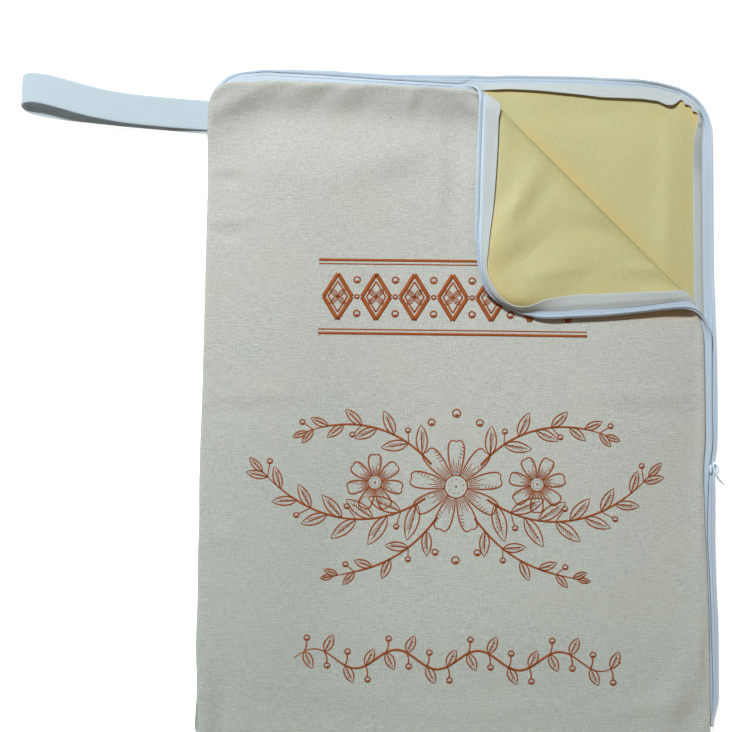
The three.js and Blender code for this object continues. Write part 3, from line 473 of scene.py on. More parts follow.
def creases(x, y):
    """What the creases add to the height of both layers of the front; nothing at the outline."""
    box = canvas_box(FRONT_OUTER)
    inset = depth(box, x, y)
    flat = 1 - ramp(*FLAT_ENDS, across_crease(x, y))
    below = box["top"] - y
    top, foot, far = (SEAM_SLOPE[key] for key in ("top", "foot", "far"))
    slope = ramp(top, foot, below) * (1 - ramp(foot, far, below))
    drop = SEAM_SLOPE["drop"] * slope * ramp(0, SEAM_SLOPE["from_left"], x - box["left"])
    main = (soft_folds(FRONT_CREASES, x, y) - drop) * flat
    flap = soft_folds(FLAP_CREASES, x, y) * ramp(*PEELED["creases"], across_crease(x, y))
    return (main + flap) * ramp(0, CREASES_FADE["front"], inset)


def back_creases(x, y):
    return soft_folds(BACK_CREASES, x, y) * ramp(0, CREASES_FADE["back"], depth(lining_box(BACK_OUTER), x, y))


def seam_ridge(box, x, y):
    """The canvas is turned under at the zip, so it is thicker there."""
    zipped = ramp(*SEAM_RIDGE["start"], x + y)
    beside_zip = near_line(np.minimum(depth(box, x, y), 40), SEAM_RIDGE["inset"], SEAM_RIDGE["width"])
    return SEAM_RIDGE["height"] * beside_zip * zipped


def rounded_edge(inset, half):
    """Share of a sheet's half thickness at this distance from its edge, so that the edge is round."""
    f = 1 - clamp01(inset / half)
    return np.maximum(np.sqrt(1 - f * f), 0.2)


def new_piece(name, points, faces, flat, material):
    """A smooth mesh from millimetre points. flat holds each point's place on the unfolded cloth."""
    mesh = bpy.data.meshes.new(name)
    mesh.from_pydata((np.asarray(points) * MM).tolist(), [], [f for part in faces for f in part.tolist()])
    mesh.polygons.foreach_set("use_smooth", np.ones(len(mesh.polygons), bool))
    place = mesh.attributes.new("flat", "FLOAT_VECTOR", "POINT")
    place.data.foreach_set("vector", np.asarray(flat, np.float32).ravel())
    mesh.materials.append(material)
    mesh.update()
    return link(name, mesh)


def facing_out(points, faces):
    """The faces, turned round if the closed surface they make is inside out."""
    volume = 0.0
    for part in faces:
        a, b, c = points[part[:, 0]], points[part[:, 1]], points[part[:, 2]]
        volume += np.einsum("ij,ij->i", a, np.cross(b, c)).sum()
        if part.shape[1] == 4:
            d = points[part[:, 3]]
            volume += np.einsum("ij,ij->i", a, np.cross(c, d)).sum()
    return [part[:, ::-1] for part in faces] if volume < 0 else faces


def sheet_faces(rows, wide):
    """Faces of a closed sheet: a lower grid, an upper grid and the wall round them."""
    count = rows * wide
    i, j = np.meshgrid(np.arange(rows - 1), np.arange(wide - 1), indexing="ij")
    p = (i * wide + j).ravel()
    lower = np.stack([p, p + wide, p + wide + 1, p + 1], 1)
    upper = np.stack([p, p + 1, p + wide + 1, p + wide], 1) + count
    side = np.arange(rows - 1) * wide
    far = side + wide - 1
    end = np.arange(wide - 1)
    last = count - wide + end
    walls = [
        np.stack([side, side + count, side + count + wide, side + wide], 1),
        np.stack([far, far + wide, far + count + wide, far + count], 1),
        np.stack([end, end + 1, end + 1 + count, end + count], 1),
        np.stack([last, last + count, last + count + 1, last + 1], 1),
    ]
    return [lower, upper, *walls]


def cloth_sheet(name, grid, box, layer, place, material, tone, relief=None, ridge=None):
    """A closed sheet with round edges over a grid of flat points, rows by columns by two."""
    x, y = grid[..., 0], grid[..., 1]
    half = (layer[1] - layer[0]) / 2
    middle = (layer[1] + layer[0]) / 2 + (relief(x, y) if relief else 0)
    thick = half * rounded_edge(depth(box, x, y), half)
    added = ridge(box, x, y) * rounded_edge(depth(box, x, y), half) if ridge else 0
    low = place(x, y, middle - thick)
    high = place(x, y, middle + thick + added)
    points = np.concatenate([low.reshape(-1, 3), high.reshape(-1, 3)])
    # The third column carries the painted shade and tints that the material reads
    flat = np.stack([x, y, tone(x, y)], -1).reshape(-1, 3)
    faces = facing_out(points, sheet_faces(*x.shape))
    return new_piece(name, points, faces, np.concatenate([flat, flat]), material)


def canvas_painted_shade_and_tint(x, y):
    """Share of painted shade on the canvas here, less the share of warm tint: wax on the peeled part's inner
    side, and painted warm shadow below the peeled corner.
    """
    peeled = ramp(*PEELED["warm_tint"], across_crease(x, y))
    warm_tint = clamp01(np.maximum(peeled, soft_folds(WARM_SHADOW_TINTS, x, y) * ramp(*WARM_SHADOW_ABOVE, y)))
    return soft_folds(CANVAS_PAINTED_SHADE, x, y) * (1 - warm_tint) - warm_tint


def plain(x, y):
    return np.zeros_like(x)


def near_line(distance, line, band):
    """One on a line and soft on both its sides."""
    return np.exp(-(((distance - line) / band) ** 2))


def front_lining_bounce_and_shade(x, y):
    """Share of painted warm bounce light along the binding, less painted olive shade where the flap rolls
    over at the crease.
    """
    warm = 0.6 * near_line(depth(lining_box(FRONT_OUTER), x, y), 0, 4)
    along = along_crease(x, y)
    past = across_crease(x, y) - roll_start(along) - roll_radius(along) * math.pi / 2
    # Painted shade: a dark olive line at the crease, and an olive shade on the roll that fades out onto the
    # flap
    line = 0.5 * near_line(past, 1, 1.6)
    return warm - np.where(past > -3, np.maximum(line, 0.5 * np.exp(-np.maximum(past, 0) / 5)), 0)


def back_lining_painted_bounce(x, y):
    # Painted warm bounce light: a deeper yellow band along the binding, and over part of the crease a band
    # beside it where the rolled flap throws warm light
    along = along_crease(x, y)
    warm_part = ramp(-110, -90, along) * (1 - ramp(-20, 75, along))
    crease = 0.6 * near_line(across_crease(x, y), CREASE + 3, 5) * warm_part
    return np.maximum(0.85 * near_line(depth(lining_box(BACK_OUTER), x, y), 0.8, 2.6), crease)


# Rows of the front's grids run along the crease, so that the roll is smooth
BLEND = (122, 192)
EDGE_MARKS = [0.12, 0.35, 0.75, 1.4, 2.4, 3.8, 5.4, 7.2, 9.4, 12]


def edge_between(inside, near, far):
    """Where the way from points inside an outline to points outside it crosses the outline."""
    for _ in range(45):
        half = (near + far) / 2
        kept = inside(half) > 0
        near, far = np.where(kept, half, near), np.where(kept, far, half)
    return near


def row_distances(box, start, end, widest):
    """Places of a grid's rows, square to the crease: closer together at the round corners and the roll."""
    def corner(x, y, round_, reach):
        return across_crease(x, y), round_ * reach, round_ / 12

    zones = [
        corner(box["left"], box["top"], box["top_left"], 0.75),
        corner(box["right"], box["bottom"], box["foot"], 0.9),
        (start, 7, 0.7),
        (end, 14, 0.7),
    ]
    found = []
    n = start
    while n < end - 0.3:
        found.append(n)
        step = min([size for at, reach, size in zones if abs(n - at) < reach] + [widest])
        following = [at - reach + 0.01 for at, reach, size in zones if at - reach > n]
        n = min([n + step] + following)
    return found + [end]


def front_grid(box, widest, flap_step, roll_steps, columns):
    def apex(x, y, round_):
        return abs(x + y) * DIAGONAL - round_ * (math.sqrt(2) - 1)

    lowest = 0.15 - apex(box["left"], box["bottom"], box["foot"])
    highest = apex(box["right"], box["top"], box["top_right"]) - 0.15
    blends = max(3, round(26 / widest))
    rows = [(0, n) for n in row_distances(box, lowest, BLEND[0], widest)[:-1]]
    rows += [(1, i / blends) for i in range(blends)]
    rows += [(2, i / roll_steps) for i in range(roll_steps)]
    rows += [(3, i / blends) for i in range(blends)]
    rows += [(0, n) for n in row_distances(box, BLEND[1], highest, flap_step)]
    kind, f = np.array(rows, float).T[:, :, None]

    def distance(along):
        start = roll_start(along)
        turn = roll_radius(along) * math.pi
        return np.select(
            [kind == 0, kind == 1, kind == 2],
            [f + 0 * along, mix(BLEND[0], start, f), start + turn * f],
            mix(start + turn, BLEND[1], f),
        )

    def inside(along):
        return depth(box, *from_crease(distance(along), along))

    tries = np.linspace(-320, 320, 641)[None, :]
    middle = tries[0, inside(tries).argmax(1)][:, None]
    low, high = (edge_between(inside, middle, middle + way * 500) for way in (-1, 1))
    marks = np.array([0] + EDGE_MARKS) * math.sqrt(2)
    scale = np.minimum(1, (high - low) / (3.2 * marks[-1]))
    left = low + marks * scale
    right = high - marks[::-1] * scale
    inner = np.linspace(0, 1, columns + 1)[1:-1]
    along = np.concatenate([left, mix(left[:, -1:], right[:, :1], inner), right], 1)
    return np.stack(from_crease(distance(along), along), -1)


def back_grid(box, coarse, fine):
    """Rows across the bag, close together where the open corner shows them."""
    marks = np.array([0] + EDGE_MARKS)
    top = box["top"] - box["top_right"]
    turn = np.linspace(0, math.pi / 2, 20)[1:]
    y = np.concatenate([
        box["bottom"] + 0.05 + marks,
        np.arange(box["bottom"] + 16, 30, coarse),
        np.arange(30, top, fine),
        top + box["top_right"] * np.minimum(np.sin(turn), 1 - 0.05 / box["top_right"]),
    ])[:, None]
    left, right = (
        edge_between(lambda x: depth(box, x, y), 0 * y, 0 * y + way * BAG_WIDTH) for way in (-1, 1)
    )
    columns = np.concatenate([np.arange(0, 0.52, coarse / 300), np.arange(0.53, 1, fine / 300), [1]])
    x = np.concatenate([
        left + marks[:-1],
        mix(left + marks[-1], right - marks[-1], columns),
        right - marks[-2::-1],
    ], 1)
    return np.stack([x, np.broadcast_to(y, x.shape)], -1)


# The zip strips
STATION_STEP = 1.15


def stations(outer):
    """Places along a zip half, from the top left corner round to the foot of the side, with the way out."""
    pieces = []

    def arc(cx, cy, radius, start, end):
        count = round(abs(end - start) * math.pi / 180 * radius / (STATION_STEP * 0.7))
        angle = np.radians(np.linspace(start, end, count + 1))
        nx, ny = np.cos(angle), np.sin(angle)
        pieces.append(np.stack([cx + radius * nx, cy + radius * ny, nx, ny], 1))

    def line(start, end, point):
        count = round(abs(end - start) / STATION_STEP)
        for f in np.linspace(start, end, count + 1)[1:]:
            pieces.append(np.array([point(f)]))

    left, right = outer["left"] + outer["top_left"], outer["right"] - outer["top_right"]
    arc(left, outer["top"] - outer["top_left"], outer["top_left"], ZIP_START, 90)
    line(left, right, lambda x: (x, outer["top"], 0, 1))
    arc(right, outer["top"] - outer["top_right"], outer["top_right"], 90, 0)
    line(outer["top"] - outer["top_right"], ZIP_END, lambda y: (outer["right"], y, 1, 0))
    found = np.concatenate(pieces)
    keep = np.concatenate([[True], np.hypot(*np.diff(found[:, :2], axis=0).T) > 0.2])
    return found[keep]


def run_of(points):
    return np.concatenate([[0], np.cumsum(np.linalg.norm(np.diff(points, axis=0), axis=1))])


def bar_faces(count, sides):
    i, j = np.meshgrid(np.arange(count - 1), np.arange(sides), indexing="ij")
    p = (i * sides + j).ravel()
    q = (i * sides + (j + 1) % sides).ravel()
    walls = np.stack([p, q, q + sides, p + sides], 1)
    fan = np.arange(1, sides - 1)
    last = (count - 1) * sides
    ends = [
        np.stack([0 * fan, fan + 1, fan], 1),
        np.stack([0 * fan + last, last + fan, last + fan + 1], 1),
    ]
    return [walls, *ends]


def ring(inner, outer_inset, low, high, flats, crowned=0.0):
    """Corners of a strip's section with round edges: insets and heights, with a column for each corner."""
    low, high, inner, outer_inset = np.broadcast_arrays(low, high, inner, outer_inset)
    half = (high - low) / 2
    middle = (high + low) / 2
    insets, heights = [], []
    for f in np.linspace(0, 1, flats):
        insets.append(mix(outer_inset + half, inner - half, f))
        heights.append(high + crowned * 4 * f * (1 - f))
    for angle in (45, 0, -45):
        insets.append(inner - half + half * math.cos(math.radians(angle)))
        heights.append(middle + half * math.sin(math.radians(angle)))
    for f in np.linspace(1, 0, flats):
        insets.append(mix(outer_inset + half, inner - half, f))
        heights.append(low + 0 * half)
    for angle in (-45, 0, 45):
        insets.append(outer_inset + half - half * math.cos(math.radians(angle)))
        heights.append(middle + half * math.sin(math.radians(angle)))
    return np.stack(insets, 1), np.stack(heights, 1)


# Where a strip is painted darker, as painted shade in its folds and grooves, or lighter below zero, as
# painted light where it turns to the lamp.
# Columns: run from where the corner starts, inset from the outside, half length, half width, share
BACK_TAPE_PAINTED_SHADE = [(30, 3.4, 16, 0.8, 0.5), (42, 4, 10, 0.8, 0.6)]
FRONT_TAPE_PAINTED_LIGHT_AND_SHADE = [(-292, 5.6, 12, 0.7, 0.8), (-210, 3, 110, 4, -0.5), (-60, 2, 50, 3, -0.3)]
BACK_BINDING_PAINTED_SHADE = [(44, 4.4, 5, 1.4, 0.7), (51, 7.5, 3, 1.6, 0.5), (72, 10, 16, 5, 0.35)]
FRONT_BINDING_PAINTED_SHADE = [(-40, 9, 60, 5, 0.12)]


def strip_piece(name, outer, spots, place, inset, height, edge, painted_shades, material):
    """A bar along a zip half from its sections' insets and heights."""
    placed = place(spots[:, :1] - spots[:, 2:3] * inset, spots[:, 1:2] - spots[:, 3:4] * inset, height)
    points = placed.reshape(-1, 3)
    run = np.broadcast_to(run_of(spots[:, :2])[:, None], inset.shape)
    from_corner = corner_run(spots)[:, None]
    # Painted shade, or painted light below zero, that the strip's material reads from the third column
    shade = sum(
        share * np.exp(-(((from_corner - at) / length) ** 2) - ((inset - middle) / wide) ** 2)
        for at, middle, length, wide, share in painted_shades
    )
    flat = np.stack([run, inset - edge, shade], -1).reshape(-1, 3)
    return new_piece(name, points, facing_out(points, bar_faces(*inset.shape)), flat, material)


# The bindings, by the run along the strip from where its top right corner starts. Where a half lies open, the
# binding's inner edge stands off the lining; round the corner the back one is gathered into scallops.
# Columns: run, inset of the inner edge, inset of the outer edge, lift of the inner edge
BACK_BINDING = [
    (-140, 13.5, 6.5, 0), (-118, 11, 5, 0.3), (-110, 10.2, 5, 1.4), (-106, 10.2, 5, 2), (-82, 10.8, 5, 2.2),
    (-58, 12.6, 5, 2.2), (-34, 14.2, 5, 2.1), (-16, 14.2, 4.6, 2.2), (0, 14.3, 4.2, 2.4), (6, 14.9, 4, 2.6),
    (10, 15.3, 3.8, 3), (15.5, 14.6, 3.6, 3.2), (19, 12.4, 3.4, 2.6), (21.6, 7.2, 3.2, 1.2),
    (24, 7.2, 3.1, 1.4), (26.5, 8.6, 3, 2.4), (30, 7.3, 3, 1.4), (33, 7, 3, 1.2), (36, 8.2, 3, 2.2),
    (40, 6.4, 3, 1.4), (44, 7.2, 3.4, 1.1), (47.5, 8.4, 4, 0.9), (51, 10.2, 4.8, 1.4), (56, 11.8, 5.6, 1.6),
    (63, 12.8, 6.2, 1.5), (90, 13.8, 6.5, 1.4), (178, 13.8, 6.5, 1.4), (192, 13.5, 6.5, 0),
]
FRONT_BINDING = [
    (-140, 13.5, 6.5, 0), (-118, 13.5, 6, 0.6), (-108, 13.6, 4.6, 1.8), (-79, 13.8, 4.6, 2.1),
    (-64, 13.5, 4.6, 2.1), (-42, 12.3, 4.6, 2.1), (-27, 11.1, 4.6, 2.1), (-19, 10.3, 4.6, 2),
    (-12, 9.6, 4.6, 1.8), (-4, 9, 4.7, 1.5), (3, 8.2, 5, 1.2), (11, 7.6, 4.8, 1), (20, 8, 4.8, 0.8),
    (30, 8.4, 5, 0.8), (40, 8, 5, 0.8), (48, 7.6, 4.8, 0.9), (54, 7.8, 4.8, 1.1), (60, 8.2, 5, 1.4),
    (64, 9.4, 5, 1.6), (69, 11.4, 5, 1.6), (77, 13, 5, 1.5), (84, 14, 5, 1.5), (91, 14.8, 5.4, 1.5),
    (98, 15, 5.4, 1.5), (106, 15, 5.2, 1.4), (113, 14.8, 5, 1.4), (120, 14.3, 4.8, 1.4),
    (127, 14, 4.6, 1.4), (134, 13.7, 4.5, 1.4), (142, 12.6, 4.5, 1.3), (149, 12, 4.8, 1.2),
    (165, 11.4, 5.6, 1), (185, 12, 6.5, 0.4), (200, 13.5, 6.5, 0),
]
# Height by which the back tape's outer rim stands up, by the run from where the corner starts. Where the zip
# is shut it meets the front half, and round the open corner the tape is too short to lie flat
BACK_RIM = [
    (-330, 2), (-140, 2), (-122, 0.6), (-40, 0.6), (-24, 0.8), (-8, 1.1), (6, 1.4), (26, 1.4), (40, 1),
    (54, 0.5), (150, 0.4), (172, 2), (420, 2),
]
FLAT_RIM = [(-400, 0), (400, 0)]
RIM = {"least": 1.5, "slope": 0.9, "gap": 0.9}
# Where the zip comes undone: along x on the top, along y on the side
SHUT = {"top": (-4, 14), "side": (30, 50)}
# How far the front tape's edge is drawn in, so that the back half shows beside it: by x along the top, and by
# y down the side
TAPE_EDGE_TOP = [
    (-150, 0), (-128, 0), (-118, 0.8), (-87, 1.2), (-54, 2.1), (-21, 2.6), (-4, 2.6), (12, 1.5), (28, 0),
]
TAPE_EDGE_SIDE = [
    (-205, 1), (-179, 1.2), (-149, 2), (-119, 2.4), (-89, 3.2), (-59, 2.4), (-45, 1.6), (-29, 0.5),
    (-17, 0.6), (1, 0.9), (31, 0.4), (45, 0),
]
# Each of these tables counts within this distance of its own edge, and neither does past this x + y
TAPE_EDGE_BAND = 45
TAPE_EDGE_CORNER = 260


def corner_run(spots):
    """Distance along the strip from where the top right corner starts."""
    run = run_of(spots[:, :2])
    start = np.flatnonzero((spots[:, 2] > 1e-6) & (spots[:, 3] > 0) & (spots[:, 0] > 0))[0]
    return run - run[start]


def smooth_table(table, place):
    """Values of a table's later columns at places along its first, eased between rows."""
    data = np.array(table, float)
    return [shift_at(np.stack([data[:, 0], data[:, k]], 1), place) for k in range(1, data.shape[1])]


def binding_piece(name, outer, place, layer, side, table, painted_shades, material):
    """A binding: thin where it overlaps the zip tape, full and lifted at its inner edge."""
    spots = stations(outer)
    inner, outside, lift = smooth_table(table, corner_run(spots))
    half = (layer[1] - layer[0]) / 2
    inset, height = ring(inner, outside, -half, half, 8, 0.08)
    across = clamp01((inset - outside[:, None]) / (inner - outside)[:, None])
    height = height * mix(BINDING_SHAPE["thin"], 1, ramp(0, BINDING_SHAPE["full_at"], across))
    middle = (layer[0] + layer[1]) / 2 - (BINDING_SLACK if side < 0 else 0)
    open_share = ramp(0, 1, lift)[:, None]
    swell = BINDING_SHAPE["swell"] * open_share * ramp(0, BINDING_SHAPE["swollen_at"], across)
    rise = swell + lift[:, None] * across**1.5
    height = middle + height + side * rise
    return strip_piece(name, outer, spots, place, inset, height, outside[:, None], painted_shades, material)


def tape_edge(x, y):
    """How far in the front tape's outer edge lies at a place on the front's outline."""
    top = shift_at(TAPE_EDGE_TOP, x) * (y > FRONT_OUTER["top"] - TAPE_EDGE_BAND)
    side = shift_at(TAPE_EDGE_SIDE, y) * (x > FRONT_OUTER["right"] - TAPE_EDGE_BAND)
    shut = np.where(x + y > TAPE_EDGE_CORNER, 0, np.maximum(top, side))
    return np.maximum(shut, HANG["tape"] * hang_share(x, y))


def no_edge(x, y):
    return 0 * x


def rim_width(x, y):
    """Where the zip is shut, the back's rim reaches to just short of the front tape's edge."""
    top = FRONT_SHORT_TOP + shift_at(BACK_TOP_EDGE, x) - shift_at(FRONT_TOP_EDGE, x) + tape_edge(x, y)
    side = FRONT_SHORT_SIDE + shift_at(SIDE_EDGE, y) - shift_at(FRONT_SIDE_EDGE, y) + tape_edge(x, y)
    shut = np.where(x < 30, top * (1 - ramp(*SHUT["top"], x)), side * (1 - ramp(*SHUT["side"], y)))
    return np.maximum(RIM["least"], shut - RIM["gap"])


def tape_piece(name, outer, place, tape, edge, rim, painted_shades, material):
    spots = stations(outer)
    x, y = spots[:, 0], spots[:, 1]
    inner = STRIP_WIDTH - BINDING_WIDTH + TAPE_LAP
    tuck = ZIP_TUCK["inset"] * ramp(ZIP_TUCK["from"], ZIP_END, y)
    edge_inset = np.maximum(tuck, edge(x, y))[:, None]
    inset, height = ring(inner, edge_inset[:, 0], 0, TAPE, 11)
    outer_h = mix(tape["inner"], tape["outer"], ramp(*TAPE_RISE, x) * (1 - tuck / inner))
    across = clamp01((inset - edge_inset) / (inner - edge_inset))
    wide = rim_width(x, y)[:, None]
    in_rim = 1 - ramp(wide, wide + RIM["slope"], inset - edge_inset)
    stands = shift_at(rim, corner_run(spots))[:, None] * in_rim
    height = height + mix(outer_h[:, None], tape["inner"], across) + stands
    return strip_piece(name, outer, spots, place, inset, height, edge_inset, painted_shades, material)


# Zip coils: a nylon helix sewn to each tape, of which two staggered rows of bumps show
COIL_PITCH = 1.35
COIL_WIRE = 0.4
COIL_TURN_POINTS = 10
WIRE_SIDES = 6
BACK_COIL = {"inset": 2.95, "half": 0.9, "low": 0.66, "high": 0.86}
FRONT_COIL = {"inset": 1.6, "half": 0.6, "low": -0.66, "high": -0.86}
# The row of stitches that shows on the upper face of the front tape where the zip is shut
STITCH_ROW = {"inset": 1.5, "thread": 0.26, "low": 0.5, "high": 0.72, "top_end": -6, "side_start": 40}


def along_strip(outer, keep, pitch, points):
    """Even places along a zip half: x, y, the way out, and the number of turns so far."""
    spots = stations(outer)
    spots = spots[keep(spots[:, 0], spots[:, 1])]
    run = run_of(spots[:, :2])
    turn = np.arange(int(run[-1] / pitch) * points + 1) / points
    return [np.interp(turn * pitch, run, spots[:, k]) for k in range(4)] + [turn * 2 * math.pi]


def has_coil(x, y):
    return (x >= COIL_TOP_START) & (y >= COIL_END)


def on_shut_top(x, y):
    return (x >= COIL_TOP_START) & (x < STITCH_ROW["top_end"]) & (y > 0)


def on_shut_side(x, y):
    return (y >= COIL_END) & (y < STITCH_ROW["side_start"]) & (x > 0)


def coil_piece(name, outer, place, coil, edge, material):
    x, y, nx, ny, angle = along_strip(outer, has_coil, COIL_PITCH, COIL_TURN_POINTS)

    def at(size):
        inset = edge(x, y) + coil["inset"] + coil["half"] * size * np.cos(angle)
        up = mix(coil["low"], coil["high"], np.cos(angle) ** 2) + (size - 1) * np.sin(angle)
        return place(x - nx * inset, y - ny * inset, up)

    path = at(1)
    return tube(name, path, at(1.3) - path, COIL_WIRE, WIRE_SIDES, material)


def stitch_row(name, keep, material):
    """A thread that dips in and out of the front tape."""
    x, y, nx, ny, angle = along_strip(FRONT_OUTER, keep, COIL_PITCH, 10)
    inset = tape_edge(x, y) + STITCH_ROW["inset"]
    up = mix(STITCH_ROW["low"], STITCH_ROW["high"], 0.5 + 0.5 * np.cos(angle))
    path = place_front(x - nx * inset, y - ny * inset, up - 0.2)
    above = place_front(x - nx * inset, y - ny * inset, up + 0.8) - path
    return tube(name, path, above, STITCH_ROW["thread"], WIRE_SIDES, material)


def tube(name, path, outwards, radius, sides, material):
    tangent = normalised(np.gradient(path, axis=0))
    outwards = normalised(outwards - tangent * (outwards * tangent).sum(1)[:, None])
    other = np.cross(tangent, outwards)
    angle = np.arange(sides) * 2 * math.pi / sides
    ring_points = path[:, None] + radius * (
        outwards[:, None] * np.cos(angle)[:, None] + other[:, None] * np.sin(angle)[:, None]
    )
    points = ring_points.reshape(-1, 3)
    run = np.broadcast_to(run_of(path)[:, None], (len(path), sides))
    flat = np.stack([run, 0 * run, 0 * run], -1).reshape(-1, 3)
    return new_piece(name, points, facing_out(points, bar_faces(len(path), sides)), flat, material)


# The strap
def strap_line(steps):
    """Centripetal Catmull-Rom curve through the strap's points, with its lean."""
    rows = np.array(STRAP, float)
    points = rows[:, :3]
    f = np.linspace(0, 1, steps + 1) * (len(rows) - 1)
    i = np.minimum(f.astype(int), len(rows) - 2)
    w = (f - i)[:, None]
    before = np.vstack([2 * points[0] - points[1], points])
    after = np.vstack([points, 2 * points[-1] - points[-2]])
    p0, p1, p2, p3 = before[i], points[i], points[i + 1], after[i + 2]
    d0, d1, d2 = [np.linalg.norm(b - a, axis=1)[:, None] ** 0.5 for a, b in ((p0, p1), (p1, p2), (p2, p3))]
    t1 = ((p1 - p0) / d0 - (p2 - p0) / (d0 + d1) + (p2 - p1) / d1) * d1
    t2 = ((p2 - p1) / d1 - (p3 - p1) / (d1 + d2) + (p3 - p2) / d2) * d1
    a, b = 2 * p1 - 2 * p2 + t1 + t2, -3 * p1 + 3 * p2 - 2 * t1 - t2
    line = p1 + t1 * w + b * w**2 + a * w**3
    lean = np.interp(f, np.arange(len(rows)), rows[:, 3])
    return line, lean


def strap_piece(material):
    line, lean = strap_line(280)
    tangent = np.gradient(line, axis=0)
    across = np.stack([np.sin(lean), np.cos(lean), 0 * lean], 1)
    up = normalised(np.cross(tangent, across))
    half = STRAP_WIDTH / 2
    side, height = ring(np.array([half]), -half, -CLOTH / 2, CLOTH / 2, 11)
    side, height = side[0], height[0] * np.where(np.abs(side[0]) < half - 1.6, 0.86, 1)
    points = line[:, None] + across[:, None] * side[:, None] + up[:, None] * height[:, None]
    points = (points + [0, 0, CLOTH / 2]).reshape(-1, 3)
    flat = np.stack(np.broadcast_arrays(run_of(line)[:, None], side, height), -1).reshape(-1, 3)
    faces = facing_out(points, bar_faces(len(line), len(side)))
    return new_piece("strap_webbing", points, faces, flat, material)


# The slider's lobes, each a rounded block: middle and half sizes. Its bail is a wire through a few points
SLIDER_LOBES = [
    ((162.4, -42.6, 5.6), (0.75, 2.8, 0.6)), ((164.2, -42.2, 0.95), (2.0, 3.8, 0.5)),
    ((165.95, -42.2, 3.3), (0.5, 2.6, 2.9)),
]
BAIL = [
    (163.6, -38.2, 6.0), (164.9, -39.0, 6.9), (166.2, -40.4, 7.3), (167.0, -42.4, 7.2), (166.9, -44.4, 6.7),
    (166.0, -45.3, 6.2), (164.9, -44.6, 6.0), (164.5, -42.8, 6.0), (164.2, -40.6, 6.0), (163.8, -38.8, 5.8),
]
BAIL_WIRE = 0.52
# The pull, a tapering plate on its edge: points of its middle line with its thickness and height there
PULL = [
    ((164.8, -43.4, 6.4), 0.7, 1.4), ((165.2, -45.2, 6.2), 1.3, 2.2), ((166.4, -47.2, 5.8), 1.4, 2.8),
    ((168.3, -49.7, 5.1), 1.3, 3.0), ((170.3, -51.7, 4.5), 1.1, 2.8), ((171.6, -53.0, 4.1), 0.6, 1.6),
]


def joined(name, parts, material):
    """One piece from closed parts, each its points and faces."""
    points, faces, count = [], [], 0
    for own, sides in parts:
        points.append(own)
        faces += [part + count for part in facing_out(own, sides)]
        count += len(own)
    points = np.concatenate(points)
    return new_piece(name, points, faces, points, material)


def soft(v, power):
    """A sine or cosine drawn out, so that the round that it makes gets blunt."""
    return np.sign(v) * np.abs(v) ** power


def lobe(middle, half, rings=14, sides=28):
    """A rounded block, between an ellipsoid and a box."""
    turn = np.linspace(0, math.pi, rings + 1)[:, None]
    around = np.arange(sides) * 2 * math.pi / sides
    wide = soft(np.maximum(np.sin(turn), 0.02), 0.5)
    across = [wide * soft(way(around), 0.7) for way in (np.cos, np.sin)]
    shape = np.stack([*across, soft(np.cos(turn), 0.7) + 0 * around], -1)
    return (np.array(middle) + shape * half).reshape(-1, 3), bar_faces(rings + 1, sides)


def smooth_line(rows, steps):
    """A smooth line through rows of numbers."""
    table = [(place, *row) for place, row in enumerate(rows)]
    return np.stack(smooth_table(table, np.linspace(0, len(rows) - 1, steps + 1)), 1)


def sections(line, across, up, wide, high, sides=16):
    """A bar along a line, from the two ways across it and its sizes that way."""
    around = np.arange(sides) * 2 * math.pi / sides
    c, s = soft(np.cos(around), 0.6), soft(np.sin(around), 0.6)
    sideways = across[:, None] * (wide[:, None] * c / 2)[..., None]
    upwards = up[:, None] * (high[:, None] * s / 2)[..., None]
    return (line[:, None] + sideways + upwards).reshape(-1, 3), bar_faces(len(line), sides)


def slider_piece(material):
    line = smooth_line(BAIL, 40)
    tangent = normalised(np.gradient(line, axis=0))
    across = normalised(np.cross(tangent, [1.0, 0.2, 0.3]))
    wire = np.full(len(line), 2 * BAIL_WIRE)
    parts = [lobe(middle, half) for middle, half in SLIDER_LOBES]
    parts.append(sections(line, across, np.cross(tangent, across), wire, wire))
    return joined("slider_body", parts, material)


def pull_piece(material):
    rows = smooth_line([[*point, thick, high] for point, thick, high in PULL], 40)
    line, thick, high = rows[:, :3], rows[:, 3], rows[:, 4]
    upright = np.array([0, 0, 1.0])
    across = normalised(np.cross(np.gradient(line, axis=0), upright))
    up = np.broadcast_to(upright, line.shape)
    return joined("slider_pull", [sections(line, across, up, thick, high)], material)


